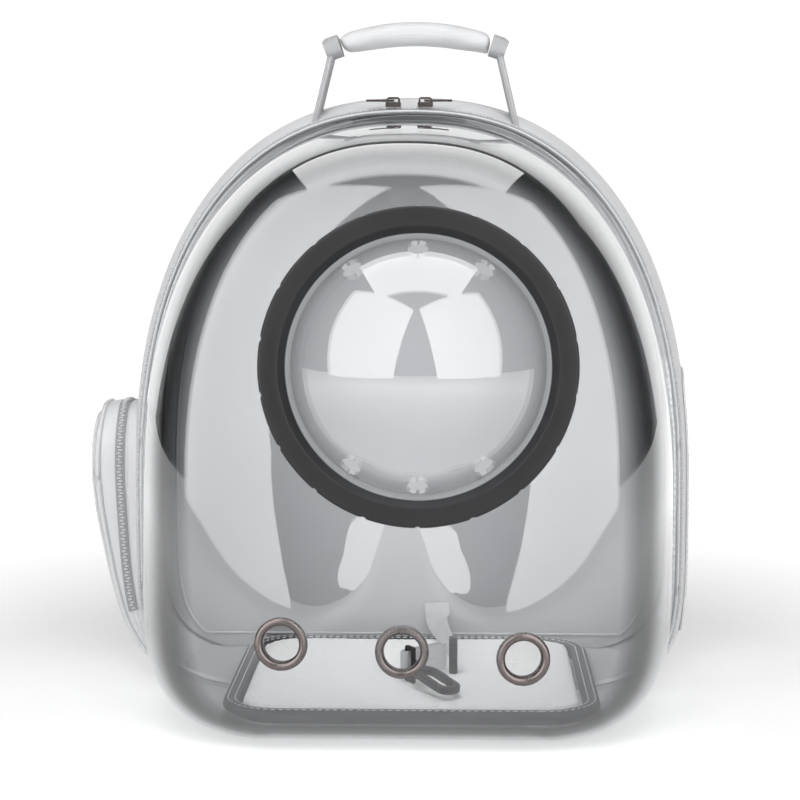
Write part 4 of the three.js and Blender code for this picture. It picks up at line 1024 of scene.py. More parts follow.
def zip_line():
    """Woven tape, its two welts and the teeth."""
    rows = [
        (0.3, -0.1), (0.5, 0.15), (1.6, 0.2), (6.9, 0.2), (8.1, 0.15), (8.3, -0.1), (8.3, -1.8),
        (0.3, -1.8)]
    tape = loft("zip_tape_ring", [band_ring(y, grow, 0.7) for y, grow in [*rows, rows[0]]])
    complete(tape, 35, TAPE, "grey_tape", "zip_tape")
    middle = (GAP + ZIP_BACK) / 2
    ring = outline(0.9, 0.7, 900)
    frames = []
    back = Vector((0, 1, 0))
    for number, a, b, share in walk(ring + ring[:1], TOOTH_PITCH, math.dist):
        x = a[0] + (b[0] - a[0]) * share
        z = a[1] + (b[1] - a[1]) * share
        if z > LOWEST_TOOTH:
            along = Vector((b[0] - a[0], 0, b[1] - a[1])).normalized()
            side = 0.45 if number % 2 else -0.45
            frames.append(framed(put(x, middle + side, z), along, back, along.cross(back)))
    teeth = scatter("zip_teeth", small_block("tooth", (1.25, 2.6, 1.5), 0.25), frames)
    paint(teeth, TEETH)
    dress(teeth, "grey_tape", "zip_chain")
    for name, y, grow, radius in (("front_welt", 0.55, -1.05, 0.85), ("rear_welt", 8.95, 0.9, 0.7)):
        welt = tube(name, band_ring(y, grow, 0.9), radius)
        complete(welt, 40, WHITE_LEATHER, "white_cloth")


body_band()
zip_line()


# Sewn panels on the band's inside, and the pocket outside it

WALL_GAP = 0.1
SEAM_GAP = 0.3


def wall_point(side, y, z, off):
    """A point off the band's inner face, on the side that side names, towards the middle."""
    return put(side * (half_width(z, band_grow(y) - BAND_WALL) - WALL_GAP - off), y, z)


def outside_point(side, y, z, off):
    return put(side * (half_width(z, band_grow(y)) + off), y, z)


def rounded_rect(width, height, radius, corner_steps, side_steps):
    points = []
    corners = [(1, -1, -90), (1, 1, 0), (-1, 1, 90), (-1, -1, 180)]
    for across, up, start in corners:
        for k in range(corner_steps + 1):
            angle = math.radians(start + 90 * k / corner_steps)
            points.append((
                across * (width / 2 - radius) + radius * math.cos(angle),
                up * (height / 2 - radius) + radius * math.sin(angle)))
    return fill_out(points, side_steps)


def fill_out(points, side_steps):
    """Extra points on the long sides of a closed loop."""
    sides = list(zip(points, points[1:] + points[:1]))
    longest = max(math.dist(a, b) for a, b in sides)
    result = []
    for a, b in sides:
        parts = max(round(side_steps * math.dist(a, b) / longest), 1)
        for k in range(parts):
            result.append((a[0] + (b[0] - a[0]) * k / parts, a[1] + (b[1] - a[1]) * k / parts))
    return result


def arched(width, height, radius, arc_steps, side_steps):
    """A flat bottom and round top corners."""
    radius = min(radius, width / 2)
    points = [(-width / 2, -height / 2), (width / 2, -height / 2)]
    for start, across in ((0, 1), (90, -1)):
        for k in range(arc_steps + 1):
            angle = math.radians(start + 90 * k / arc_steps)
            points.append((
                across * (width / 2 - radius) + radius * math.cos(angle),
                height / 2 - radius + radius * math.sin(angle)))
    kept = [p for index, p in enumerate(points) if index == 0 or math.dist(p, points[index - 1]) > 0.01]
    return fill_out(kept, side_steps)


STITCH_THICK = 0.55


def stitches(name, path, length=3.0, pitch=4.6, closed=True):
    """A row of short raised threads along a path in the model."""
    frames = []
    for _, a, b, share in walk(path + path[:1] if closed else path, pitch, millimetres):
        turn = Vector((1, 0, 0)).rotation_difference((b - a).normalized()).to_matrix().to_4x4()
        frames.append(Matrix.Translation(a.lerp(b, share)) @ turn)
    thread = small_block("stitch", (length, STITCH_THICK, STITCH_THICK), STITCH_THICK * 0.3)
    row = scatter(name, thread, frames)
    paint(row, THREAD)
    dress(row, "white_cloth")


MESH_LAP = 7.0
MESH_CELL = 2.4
NET_THREAD = 0.74


def side_net():
    """Open net behind the side window, with its bound edge and the stitches that hold it."""
    width = MESH_BACK - MESH_FRONT + 2 * MESH_LAP
    height = MESH_TOP - MESH_LOW + 2 * MESH_LAP
    middle_y = (MESH_FRONT + MESH_BACK) / 2
    middle_z = (MESH_LOW + MESH_TOP) / 2
    columns = round(width / MESH_CELL)
    rows = round(height / MESH_CELL)
    rings = []
    for row in range(rows + 1):
        z = middle_z + height * (row / rows - 0.5)
        lean = 0.5 if row % 2 else 0.0
        line = []
        for column in range(columns + 1):
            y = middle_y + width * (min(max((column + lean) / columns, 0), 1) - 0.5)
            line.append(wall_point(1, y, z, 0.6))
        rings.append(line)
    net = loft("side_net", rings, closed=False)
    modify(net, "WIREFRAME", thickness=NET_THREAD * MM, use_even_offset=False, use_boundary=True)
    complete(net, 60, NET, "white_mesh", "side_mesh")

    def round_window(grow, off):
        loop = rounded_rect(MESH_BACK - MESH_FRONT + 4 + grow, MESH_TOP - MESH_LOW + 4 + grow,
                            MESH_CORNER + 2 + grow / 2, 8, 16)
        return [outside_point(1, middle_y + a, middle_z + b, off) for a, b in loop]

    edge = ribbon("net_binding", round_window(0, 0.3), 1.6, 6.4, 3.0, 20, ACROSS, closed=True)
    complete(edge, 45, WHITE_LEATHER, "white_cloth")
    for name, grow in (("net_stitch_inner", -0.6), ("net_stitch_outer", 4.6)):
        stitches(name, round_window(grow, 1.25))


LINING_FRONT, LINING_BACK, LINING_LOW, LINING_TOP = 14.0, 92.0, 16.0, 178.0


def side_lining():
    """Stitched grey panel with an arched top on the inside, opposite the net."""
    width = LINING_BACK - LINING_FRONT
    height = LINING_TOP - LINING_LOW
    middle_y = (LINING_FRONT + LINING_BACK) / 2
    middle_z = (LINING_LOW + LINING_TOP) / 2
    loop = arched(width, height, width / 2, 16, 24)
    rows = [
        (1.0, 0.0), (1.0, 1.1), (0.965, 2.0), (0.93, 1.2), (0.88, 1.6), (0.7, 2.3), (0.4, 2.5), (0, 2.6)]

    def ring(share, off):
        return [wall_point(-1, middle_y + a * share, middle_z + b * share, off) for a, b in loop]

    panel = loft("side_lining_panel", [ring(share, off) for share, off in rows])
    complete(panel, 45, LINING, "grey_lining", "side_lining")
    stitches("lining_stitches", ring(0.93, 1.6), 3.2, 5.0)


POCKET_FRONT, POCKET_BACK, POCKET_LOW, POCKET_TOP, POCKET_CORNER = 20.0, 94.0, 9.0, 170.0, 30.0
POCKET_BULGE, POCKET_WALL, POCKET_ZIP_SHARE = 27.0, 1.8, 0.36
POCKET_REACH = [(0, 0.16), (0.2, 0.4), (0.42, 0.7), (0.66, 0.93), (0.84, 1), (1, 0.86)]
POCKET_ROWS = [
    (1, -0.02), (1, 0.1), (1.004, 0.2), (1.004, 0.3), (0.996, 0.36), (1.004, 0.42), (1.008, 0.55),
    (1.004, 0.7), (0.996, 0.8), (0.98, 0.87), (0.95, 0.93), (0.91, 0.965), (0.84, 0.99), (0.72, 1.005),
    (0.55, 1.02), (0.35, 1.03), (0.15, 1.035), (0, 1.035)]


def pocket_point(a, b, share, out):
    y = (POCKET_FRONT + POCKET_BACK) / 2 + a * share
    z = (POCKET_LOW + POCKET_TOP) / 2 + b * share
    level = (z - POCKET_LOW) / (POCKET_TOP - POCKET_LOW)
    reach = POCKET_BULGE * blend_rows(POCKET_REACH, min(max(level, 0), 1)) * out
    wide_dents = 0.9 * math.sin(z / 11.0 + a / 17.0) * max(out - 0.55, 0)
    small_dents = 0.5 * math.sin(a / 7.5 + z / 23.0) * max(out - 0.7, 0)
    return outside_point(-1, y, z, reach + (wide_dents + small_dents))


def pocket_loop():
    return arched(POCKET_BACK - POCKET_FRONT, POCKET_TOP - POCKET_LOW, POCKET_CORNER, 12, 34)


def pocket_line(share, out, lift):
    """A path round the pocket, lifted off its wall."""
    loop = pocket_loop()
    path = []
    for index, (a, b) in enumerate(loop):
        before = loop[index - 1]
        after = loop[(index + 1) % len(loop)]
        run = Vector((after[0] - before[0], after[1] - before[1])).normalized()
        path.append(pocket_point(a, b, share, out) + Vector((0, run.y, -run.x)) * lift * MM)
    return path


def side_pocket():
    """Puffed pocket with two lines of piping round its face and a zip round its wall."""
    rings = [[pocket_point(a, b, share, out) for a, b in pocket_loop()] for share, out in POCKET_ROWS]
    pouch = loft("side_pocket", rings)
    modify(pouch, "SOLIDIFY", thickness=POCKET_WALL * MM, offset=-1)
    complete(pouch, 50, WHITE_LEATHER, "white_cloth", "pocket_pouch")
    outer = tube("pocket_piping_outer", pocket_line(0.985, 0.86, 0.75), 1.5, 12)
    complete(outer, 60, WHITE_LEATHER, "white_cloth", "pocket_piping")
    inner = tube("pocket_piping_inner", pocket_line(0.91, 0.975, 0.5), 1.0, 12)
    complete(inner, 60, WHITE_LEATHER, "white_cloth")
    foot = put(0, 0, POCKET_LOW + POCKET_CORNER + 4.0).z
    tape_path = ordered_open([p for p in pocket_line(1, POCKET_ZIP_SHARE, 0.7) if p.z > foot])
    tape = ribbon("pocket_zip_tape", tape_path, 6.0, 1.0, 4.0, 16, ACROSS)
    complete(tape, 45, TAPE, "grey_tape", "pocket_zip")
    frames = []
    heart = put(-POCKET_BULGE - BODY_WIDTH / 2, 57, 89)
    for number, a, b, share in walk(tape_path, TOOTH_PITCH, millimetres):
        along = (b - a).normalized()
        away = Vector((-1, 0, 0)).cross(along)
        outward = away if away.dot(a - heart) > 0 else -away
        shift = Vector((0.4 if number % 2 else -0.4, 0, 0)) * MM + outward * 0.8 * MM
        frames.append(framed(a.lerp(b, share) + shift, along, outward.cross(along), outward))
    teeth = scatter("pocket_zip_teeth", small_block("tooth", (1.2, 2.4, 1.1), 0.25), frames)
    paint(teeth, TEETH)
    dress(teeth, "grey_tape")
    stitches("pocket_stitches", pocket_line(1.004, 0.2, 0.3), 3.0, 4.8)


def ordered_open(points):
    """An open line from a closed loop that lost a stretch: it starts after the widest step."""
    gaps = [(points[index] - points[index - 1]).length for index in range(len(points))]
    start = gaps.index(max(gaps))
    return points[start:] + points[:start]


# Back panel

BACK_GROW = BAND_BULGE * BAND_ROWS[-1][1] - BAND_WALL - SEAM_GAP
PIPE_RADIUS = 2.6
PIPE_ROOM = 2 * PIPE_RADIUS + 0.4
SPINE_HALF, SPINE_DEPTH = 14.0, 1.6
BACK_ROWS = [
    (0.998, 0.1), (0.985, 0.42), (0.96, 0.72), (0.93, 0.9), (0.88, 1.0), (0.84, 0.72), (0.8, 1.0),
    (0.68, 1.0), (0.52, 1.0), (0.36, 1.0), (0.18, 1.0), (0, 1.0)]


def back_ring(y, shrink, grow, floor):
    middle = FACE_MIDDLE
    return [put(x * shrink, y, middle + (z - middle) * shrink) for x, z in outline(grow, floor)]


def back_panel():
    """Padded back: smooth grey cloth inside, and sewn channels on the outside."""
    floor = BAND_WALL + SEAM_GAP
    low = floor + PIPE_ROOM
    narrow = BACK_GROW - PIPE_ROOM
    face = BACK_OUTSIDE + BACK_CROWN
    rings = [back_ring(BACK_INSIDE, share, BACK_GROW, floor) for share in (0, 0.3, 0.6, 0.85, 0.99)]
    rings += [back_ring(y, 1, BACK_GROW, floor) for y in (BACK_INSIDE + 0.4, BODY_DEPTH)]
    rings += [back_ring(y, 1, narrow, low) for y in (BODY_DEPTH, BACK_OUTSIDE - 2)]
    rings += [back_ring(BACK_OUTSIDE + rise * BACK_CROWN, shrink, narrow - 1.5, low + 1.5)
              for shrink, rise in BACK_ROWS]
    panel = loft("padded_back", rings)
    for vertex in panel.data.vertices:
        x = vertex.co.x / MM - MIDDLE_X
        if vertex.co.y / MM - RIM_Y > face - 1.0:
            vertex.co.y -= SPINE_DEPTH * max(1 - abs(x) / SPINE_HALF, 0) * MM
    paint(panel, WHITE_LEATHER, INNER_WALL)
    for face_at in panel.data.polygons:
        inside = face_at.center.y / MM - RIM_Y < BACK_INSIDE + 0.3
        face_at.material_index = 1 if inside else 0
    smooth(panel, 45)
    dress(panel, "white_cloth", "back_panel")
    seam = [put(x, BACK_INSIDE - 0.4, z) for x, z in outline(BACK_GROW - 9, floor + 9)]
    cord = tube("back_seam", seam, 0.9, 8)
    complete(cord, 60, INNER_WALL, "white_cloth")
    pipe_y = BODY_DEPTH + SEAM_GAP + PIPE_RADIUS
    path = band_ring(pipe_y, BACK_GROW - PIPE_RADIUS, floor + PIPE_RADIUS)
    piping = tube("back_piping_cord", path, PIPE_RADIUS, 12)
    complete(piping, 60, WHITE_LEATHER, "white_cloth", "back_piping")
    path = back_ring(face - 1.0, 0.84, narrow - 1.5, low + 1.5)
    stitches("back_stitches", path, 3.4, 5.2)


side_net()
side_lining()
side_pocket()
back_panel()


# Carry handle

HANDLE_TOP, HANDLE_SET, HANDLE_SHIFT = 403.0, 22.0, 3.4
GRIP_LENGTH, GRIP_THICK, GRIP_WIDTH, GRIP_ARCH = 89.0, 14.0, 30.0, 10.0
CAP_LENGTH, CAP_GAP = 9.0, 0.6
LEG_THICK, LEG_WIDTH, LEG_FOOT = 4.0, 24.0, 60.5
BACKWARDS = Vector((0, 1, 0))
UPWARDS = Vector((0, 0, 1))


def grip_point(x):
    half = GRIP_LENGTH / 2 + CAP_LENGTH
    return put(HANDLE_SHIFT + x, HANDLE_SET, HANDLE_TOP - GRIP_THICK / 2 - GRIP_ARCH * (x / half) ** 2)


CLOTH_PRESSURE = 4.0
CLOTH_FRAMES = 20
VOXEL = 4.0


def puffed(obj, cap):
    """Swell a closed form with cloth under pressure, and keep every point within cap of its start."""
    modify(obj, "REMESH", mode="VOXEL", voxel_size=VOXEL * MM)
    start = [vertex.co.copy() for vertex in obj.data.vertices]
    cloth = obj.modifiers.new("Cloth", "CLOTH")
    cloth.settings.use_pressure = True
    cloth.settings.uniform_pressure_force = CLOTH_PRESSURE
    cloth.settings.effector_weights.gravity = 0
    scene = bpy.context.scene
    for number in range(1, CLOTH_FRAMES + 1):
        scene.frame_set(number)
    solved = obj.evaluated_get(bpy.context.evaluated_depsgraph_get())
    moved = [vertex.co.copy() for vertex in solved.to_mesh().vertices]
    solved.to_mesh_clear()
    obj.modifiers.remove(cloth)
    scene.frame_set(1)
    for vertex, a, b in zip(obj.data.vertices, start, moved):
        step = b - a
        vertex.co = a + (step if step.length < cap * MM else step.normalized() * cap * MM)
    modify(obj, "SUBSURF", levels=1)


def carry_handle():
    steps = 40
    shrink = 1.2
    path = [grip_point(-GRIP_LENGTH / 2 + GRIP_LENGTH * k / steps) for k in range(steps + 1)]

    def grip_section(share):
        thick = (GRIP_THICK - shrink) * (0.9 + 0.1 * math.sin(math.pi * share))
        return superellipse(GRIP_WIDTH - shrink, thick, 2.6, 40)

    def cap_section(share):
        thick = (GRIP_THICK - 1) * (1 - 0.22 * max(share - 0.75, 0) * 4)
        return superellipse(GRIP_WIDTH - 1, thick, 3.4, 40)

    grip = sweep("carry_grip", path, grip_section, sideways=BACKWARDS)
    puffed(grip, 1.2)
    complete(grip, 60, GRIP_CLOTH, "white_cloth", "handle_grip")
    for side, label in ((-1, "left"), (1, "right")):
        reach = GRIP_LENGTH / 2 + CAP_GAP
        path = [grip_point(side * (reach + CAP_LENGTH * k / 6)) for k in range(7)]
        cap = sweep("grip_wrap_" + label, path, cap_section, sideways=BACKWARDS)
        complete(cap, 50, CAP_WEAVE, "webbing", "handle_cap_" + label)
        top = grip_point(side * (reach + CAP_LENGTH - LEG_THICK))
        top.z -= GRIP_THICK / 4 * MM
        foot_x = HANDLE_SHIFT + side * LEG_FOOT
        foot = put(foot_x, HANDLE_SET, top_at(foot_x, band_grow(HANDLE_SET - LEG_WIDTH / 2)) - 0.5)
        path = [top.lerp(foot, k / 14) for k in range(15)]
        leg = ribbon("handle_leg_" + label, path, LEG_WIDTH, LEG_THICK, 5.0, 40, BACKWARDS)
        complete(leg, 45, LEG_WEAVE, "webbing", "handle_strap_" + label)


# The last number of each is how much colour stays between threads or in rib grooves: painted shade
GRIP_CLOTH = woven_cloth("grip_weave", WHITE, 1.3, 0.8, 0.2, 0.8)
CAP_WEAVE = ribbed_webbing("wrap_webbing", (0.7, 0.705, 0.72), 30.0, 6.0, 0.8, 0.5)
LEG_WEAVE = ribbed_webbing("leg_webbing", (0.74, 0.745, 0.76), 2.0, 21.0, 0.8, 0.45)
carry_handle()


# Mat

MAT_WIDTH, MAT_DEPTH, MAT_THICK = 218.0, 196.0, 9.0
MAT_BORDER, MAT_CORNER, MAT_SHIFT = 9.0, 34.0, 3.0
MAT_BASE = BAND_WALL + SEAM_GAP
MAT_TOP = MAT_BASE + MAT_THICK
MAT_MIDDLE_Y = BACK_INSIDE - 3.0 - MAT_DEPTH / 2
PILE_TOP = MAT_TOP + 1.0
BINDING_ROWS = [
    (6.3, 0.0), (3.4, 1.6), (0.8, 3.8), (0.0, 5.4), (0.4, 7.2), (1.9, 8.7), (4.2, 9.3), (6.6, 9.0),
    (8.4, 8.0), (9.0, 6.4), (9.0, 0.0), (6.3, 0.0)]


def mat_loop(inset, z):
    loop = rounded_rect(MAT_WIDTH - 2 * inset, MAT_DEPTH - 2 * inset, MAT_CORNER - inset, 12, 24)
    return [put(MAT_SHIFT + a, MAT_MIDDLE_Y + b, z) for a, b in loop]


def mat():
    """Fleece pad that swells inside a bound and stitched dark border."""
    rings = [mat_loop(inset, MAT_BASE + height * MAT_THICK / 9.3) for inset, height in BINDING_ROWS]
    border = loft("mat_binding", rings)
    complete(border, 50, BINDING, "dark_binding", "mat_border")
    inset = MAT_BORDER + 0.3
    rows = [(inset + 6, 0.2), (inset + 0.6, 1.2), (inset + 0.6, 6.5), (inset + 2, 9.2), (inset + 7, 10.0)]
    rows += [(inset + 7 + 9 * k, 10.0) for k in range(1, 9)]
    foot = mat_loop(inset + 6, MAT_BASE + 0.2)

    def level(height):
        return MAT_BASE + height * (PILE_TOP - MAT_BASE) / 10.4

    rings = [[sum(foot, Vector()) / len(foot)] * len(foot)]
    rings += [mat_pad_loop(step, level(height)) for step, height in rows]
    rings.append([put(MAT_SHIFT, MAT_MIDDLE_Y, level(10.0))] * len(foot))
    pad = loft("mat_fleece", rings)
    puffed(pad, 0.9)
    tufted(pad)
    complete(pad, 70, PILE, "fleece", "mat_pad")
    stitches("mat_stitches_outer", mat_loop(3.0, MAT_TOP - 0.05), 2.6, 4.4)
    stitches("mat_stitches_inner", mat_loop(7.2, MAT_TOP - 0.35), 2.6, 4.4)


def mat_pad_loop(inset, z):
    wide = max(MAT_WIDTH - 2 * inset, 4)
    deep = max(MAT_DEPTH - 2 * inset, 4)
    loop = rounded_rect(wide, deep, min(max(MAT_CORNER - inset, 6), deep / 2 - 1), 12, 24)
    wanted = len(mat_loop(MAT_BORDER, 0))
    points = [put(MAT_SHIFT + a, MAT_MIDDLE_Y + b, z) for a, b in loop]
    return [points[round(k * len(points) / wanted) % len(points)] for k in range(wanted)]


def tufted(pad):
    """Short tufts: small lifts of the fleece's top, worked out from each point's place."""
    for vertex in pad.data.vertices:
        x, y, z = vertex.co / MM
        if z > MAT_TOP - 2:
            lift = math.sin(x * 1.9 + math.sin(y * 0.7) * 2) * math.sin(y * 1.7 + math.sin(x * 0.9) * 2)
            vertex.co.z += 0.3 * lift * MM


# Safety tether: webbing, tri-glide, folded loop, eye and snap hook

TETHER_WIDTH, TETHER_THICK = 16.0, 1.6
SLIDE_LENGTH, SLIDE_THICK, SLIDE_RIM = 12.0, 5.0, 2.4
EYE_BAR, EYE_DEPTH, SWIVEL_PLAY = 2.6, 9.4, 0.9
EYE_HEIGHT = TETHER_WIDTH + 2 * (SEAM_GAP + EYE_BAR)
TETHER_Z = PILE_TOP + SEAM_GAP + EYE_HEIGHT / 2
SLIDE_X, SLIDE_Y = MAT_SHIFT + 24.0, BACK_INSIDE - 112.0
EYE_X, EYE_Y = SLIDE_X - 27.0, SLIDE_Y - 22.0
HOOK_LENGTH, HOOK_WIDTH, HOOK_THICK, HOOK_COLLAR = 36.0, 15.0, 4.5, 7.0
HOOK_SLOT, HOOK_MOUTH = 7.0, 1.2
SWIVEL_RADIUS = 1.7
HOOK_TURN = math.radians(58)
HOOK_REACH = HOOK_LENGTH + HOOK_COLLAR
HOOK_DROP = math.asin((TETHER_Z - PILE_TOP - 5.4) / HOOK_REACH)
HOOK_LEVEL = math.cos(HOOK_DROP)
HOOK_AXIS = Vector((
    HOOK_LEVEL * math.cos(HOOK_TURN), -HOOK_LEVEL * math.sin(HOOK_TURN), -math.sin(HOOK_DROP)))
HOOK_SIDE = Vector((math.sin(HOOK_TURN), math.cos(HOOK_TURN), 0))
EYE_AXIS = Vector((math.cos(HOOK_TURN), -math.sin(HOOK_TURN), 0))


def flat_loop(width, height, radius, steps=6):
    loop = rounded_rect(width, height, radius, steps, 1)
    return [Vector((a * MM, b * MM, 0)) for a, b in loop]


def plate(name, outer, inner, thick, place):
    """A flat rounded frame: an outer loop and an inner one, with eased edges."""
    ease = min(thick * 0.22, 0.7) * MM
    half = thick * MM / 2
    count = len(outer)

    def shifted(loop, grow, z):
        ring = []
        for index, point in enumerate(loop):
            run = (loop[(index + 1) % count] - loop[index - 1]).normalized()
            ring.append(place @ (point + Vector((run.y, -run.x, 0)) * grow + Vector((0, 0, z))))
        return ring

    rings = [shifted(outer, grow, z) for grow, z in (
        (-ease, half), (0, half - ease), (0, ease - half), (-ease, -half))]
    rings += [shifted(inner, grow, z) for grow, z in (
        (ease, -half), (0, ease - half), (0, half - ease), (ease, half))]
    return loft(name, [*rings, rings[0]])


# Where the webbing is: share of its way from the back panel to its slide, and share of its height
TETHER_ROWS = [
    (0, 1), (0.006, 0.8), (0.02, 0.5), (0.05, 0.2), (0.1, 0.0), (0.2, -0.08), (0.35, -0.12),
    (0.7, -0.02), (1, 0)]


def tether_webbing():
    start = put(MAT_SHIFT + 13.0, BACK_INSIDE - SEAM_GAP - TETHER_THICK / 2, PILE_TOP + 20.0)
    end = put(SLIDE_X, SLIDE_Y + SLIDE_LENGTH / 2 + SEAM_GAP + TETHER_THICK / 2, TETHER_Z)
    points = []
    for along, height in TETHER_ROWS:
        point = start.lerp(end, along)
        point.z = end.z + (start.z - end.z) * height
        points.append(point)
    path = smooth_path(points, 60)
    last = len(path) - 1
    turned = []
    for index in range(len(path)):
        share = min(max((index / last - 0.3) / 0.65, 0), 1)
        share = share * share * (3 - 2 * share)
        along = (path[min(index + 1, last)] - path[max(index - 1, 0)]).normalized()
        turned.append(Matrix.Rotation(share * math.pi / 2, 3, along) @ ACROSS)
    strap = ribbon("tether_webbing", path, TETHER_WIDTH, TETHER_THICK, 5.0, 32, turned.__getitem__)
    complete(strap, 45, TETHER_WEAVE, "webbing", "tether_strap")


def tether_slide():
    stand = framed(put(SLIDE_X, SLIDE_Y, TETHER_Z), BACKWARDS, UPWARDS, ACROSS)
    height = TETHER_WIDTH + 2 * (SEAM_GAP + SLIDE_RIM)
    outer = flat_loop(SLIDE_LENGTH, height, SLIDE_RIM)
    inner = flat_loop(SLIDE_LENGTH - 2 * SLIDE_RIM, height - 2 * SLIDE_RIM, SLIDE_RIM / 3)
    slide = plate("tri_glide", outer, inner, SLIDE_THICK, stand)
    complete(slide, 35, BLACK, "black_plastic", "tether_slide")


def tether_eye_and_hook():
    """The eye with its swivel's post, and the snap hook that turns on it."""
    back = EYE_DEPTH - EYE_BAR / 2 + SWIVEL_PLAY
    swivel = put(EYE_X, EYE_Y, TETHER_Z) + EYE_AXIS * back * MM
    centre = swivel - EYE_AXIS * (EYE_DEPTH / 2 + SWIVEL_PLAY) * MM
    eye_place = framed(centre, EYE_AXIS, UPWARDS, EYE_AXIS.cross(UPWARDS))
    outer = flat_loop(EYE_DEPTH, EYE_HEIGHT, EYE_BAR / 2)
    inner = flat_loop(EYE_DEPTH - 2 * EYE_BAR, EYE_HEIGHT - 2 * EYE_BAR, EYE_BAR / 5)
    eye = plate("swivel_eye", outer, inner, EYE_BAR, eye_place)
    across = HOOK_AXIS.cross(HOOK_SIDE).normalized()
    hook_place = framed(swivel, HOOK_SIDE, across, HOOK_AXIS)
    post = cylinder("swivel_post", SWIVEL_RADIUS, -EYE_BAR, HOOK_COLLAR - 1, hook_place, 24)
    eye = join([eye, post], "swivel_eye")
    complete(eye, 35, BLACK, "black_plastic", "hook_eye")

    low = HOOK_COLLAR - 1
    reach = HOOK_REACH - low
    rim = (HOOK_WIDTH - HOOK_SLOT) / 2
    middle = swivel + HOOK_AXIS * (low + HOOK_REACH) / 2 * MM
    flat = framed(middle, HOOK_SIDE, HOOK_AXIS, HOOK_SIDE.cross(HOOK_AXIS))
    outer = flat_loop(HOOK_WIDTH, reach, HOOK_WIDTH / 2 - 0.5, 10)
    inner = flat_loop(HOOK_SLOT, reach - 2 * rim, HOOK_SLOT / 2 - 0.3, 10)
    body = plate("snap_body", outer, inner, HOOK_THICK, flat)
    gate = small_block("mouth_cutter", (rim * 2, HOOK_THICK * 2, HOOK_MOUTH))
    mouth = Vector((-HOOK_WIDTH / 2 + rim / 2, 0, HOOK_REACH - rim * 2.2)) * MM
    tilt = Matrix.Translation(mouth) @ Matrix.Rotation(math.radians(35), 4, "Y")
    gate.data.transform(hook_place @ tilt)
    cut(body, [gate])
    bore = SWIVEL_RADIUS + 0.35
    collar_profile = [
        (bore, 0.0), (3.4, 0.0), (3.8, 0.5), (3.8, 4.6), (3.3, 5.2), (3.3, 6.0), (3.8, 6.6), (3.8, 7.6),
        (3.2, 8.0), (bore, 8.0)]
    collar = lathe("snap_collar", collar_profile, hook_place @ Matrix.Scale(MM, 4), 28)
    lever = small_block("snap_lever", (2.2, 3.0, 7.0), 0.7, 3)
    aside = Vector((HOOK_WIDTH / 2 + 0.2, 0, low + reach * 0.34)) * MM
    lever.data.transform(hook_place @ Matrix.Translation(aside))
    hook = join([body, collar, lever], "trigger_hook")
    complete(hook, 35, BLACK, "black_plastic", "snap_hook", body="hook")


def tether_fold():
    """Webbing folded round the eye's back bar, both legs leading to the tri-glide."""
    run = Vector((EYE_X - SLIDE_X, EYE_Y - SLIDE_Y, 0)).normalized()
    aside = Vector((-run.y, run.x, 0))
    half = EYE_BAR / 2 + SEAM_GAP + TETHER_THICK / 2
    eye = Vector((EYE_X, EYE_Y, TETHER_Z))
    near = Vector((SLIDE_X - SLIDE_THICK / 2 - SEAM_GAP - TETHER_THICK, SLIDE_Y, TETHER_Z)) + run * half
    middle = near.lerp(eye, 0.5)
    path = [near + aside * half, middle + aside * half * 1.15, eye + aside * half]
    for k in range(1, 10):
        angle = math.pi * k / 10
        out = run * (EYE_BAR / 2 + half * math.sin(angle))
        path.append(eye + out + aside * half * math.cos(angle))
    path += [eye - aside * half, middle - aside * half * 1.15, near - aside * half]
    points = smooth_path([put(*point) for point in path], 70)
    fold = ribbon("tether_fold", points, TETHER_WIDTH, TETHER_THICK, 5.0, 28, UPWARDS)
    complete(fold, 45, TETHER_WEAVE, "webbing", "tether_loop")


TETHER_WEAVE = ribbed_webbing("tether_webbing_weave", (0.7, 0.705, 0.72), 7.0, 42.0)
mat()
tether_webbing()
tether_slide()
tether_eye_and_hook()
tether_fold()


# Shoulder straps

STRAP_SPACING, STRAP_WIDTH, STRAP_THICK, STRAP_TOP, STRAP_END = 150.0, 55.0, 10.0, 302.0, 112.0
STRAP_SPLAY, STRAP_BOW, STRAP_EDGE = 14.0, 46.0, 4.5
LOWER_WIDTH, LOWER_THICK = 25.0, 1.8
ANCHOR_HEIGHT, ANCHOR_SIZE, ANCHOR_THICK = 56.0, 34.0, 2.2
ADJUSTER_WIDTH, ADJUSTER_HEIGHT, ADJUSTER_THICK, ADJUSTER_BAR = 32.0, 18.0, 5.0, 3.4
STRAP_ROWS = [(0, 0), (0.1, 0.22), (0.3, 0.7), (0.58, 1), (0.84, 0.93), (1, 0.8)]
BACK_FACE = BACK_OUTSIDE + BACK_CROWN


def strap_section(share):
    """Thick padded middle, with flat bound edges."""
    swell = 1.0 - 0.45 * max(1 - share / 0.06, 0) - 0.5 * max((share - 0.94) / 0.06, 0)
    loop = superellipse(STRAP_WIDTH - 1, STRAP_THICK * swell, 2.8, 56)
    return [(a, b * (0.36 if abs(a) > STRAP_WIDTH / 2 - STRAP_EDGE else 1.0)) for a, b in loop]


def ladder_lock(label, place):
    """Adjuster of two frames side by side."""
    slot = (ADJUSTER_HEIGHT - 3 * ADJUSTER_BAR) / 2
    halves = []
    for number in (-1, 1):
        shift = Matrix.Translation((0, number * (slot + ADJUSTER_BAR) / 2 * MM, 0))
        outer = flat_loop(ADJUSTER_WIDTH, slot + 2 * ADJUSTER_BAR, ADJUSTER_BAR)
        inner = flat_loop(ADJUSTER_WIDTH - 2 * ADJUSTER_BAR, slot, 0.8)
        thick = ADJUSTER_THICK * (1.0 if number < 0 else 0.92)
        halves.append(plate("ladder_half", outer, inner, thick, place @ shift))
    ladder = join(halves, "ladder_lock_" + label)
    complete(ladder, 35, BLACK, "black_plastic", "strap_adjuster_" + label)


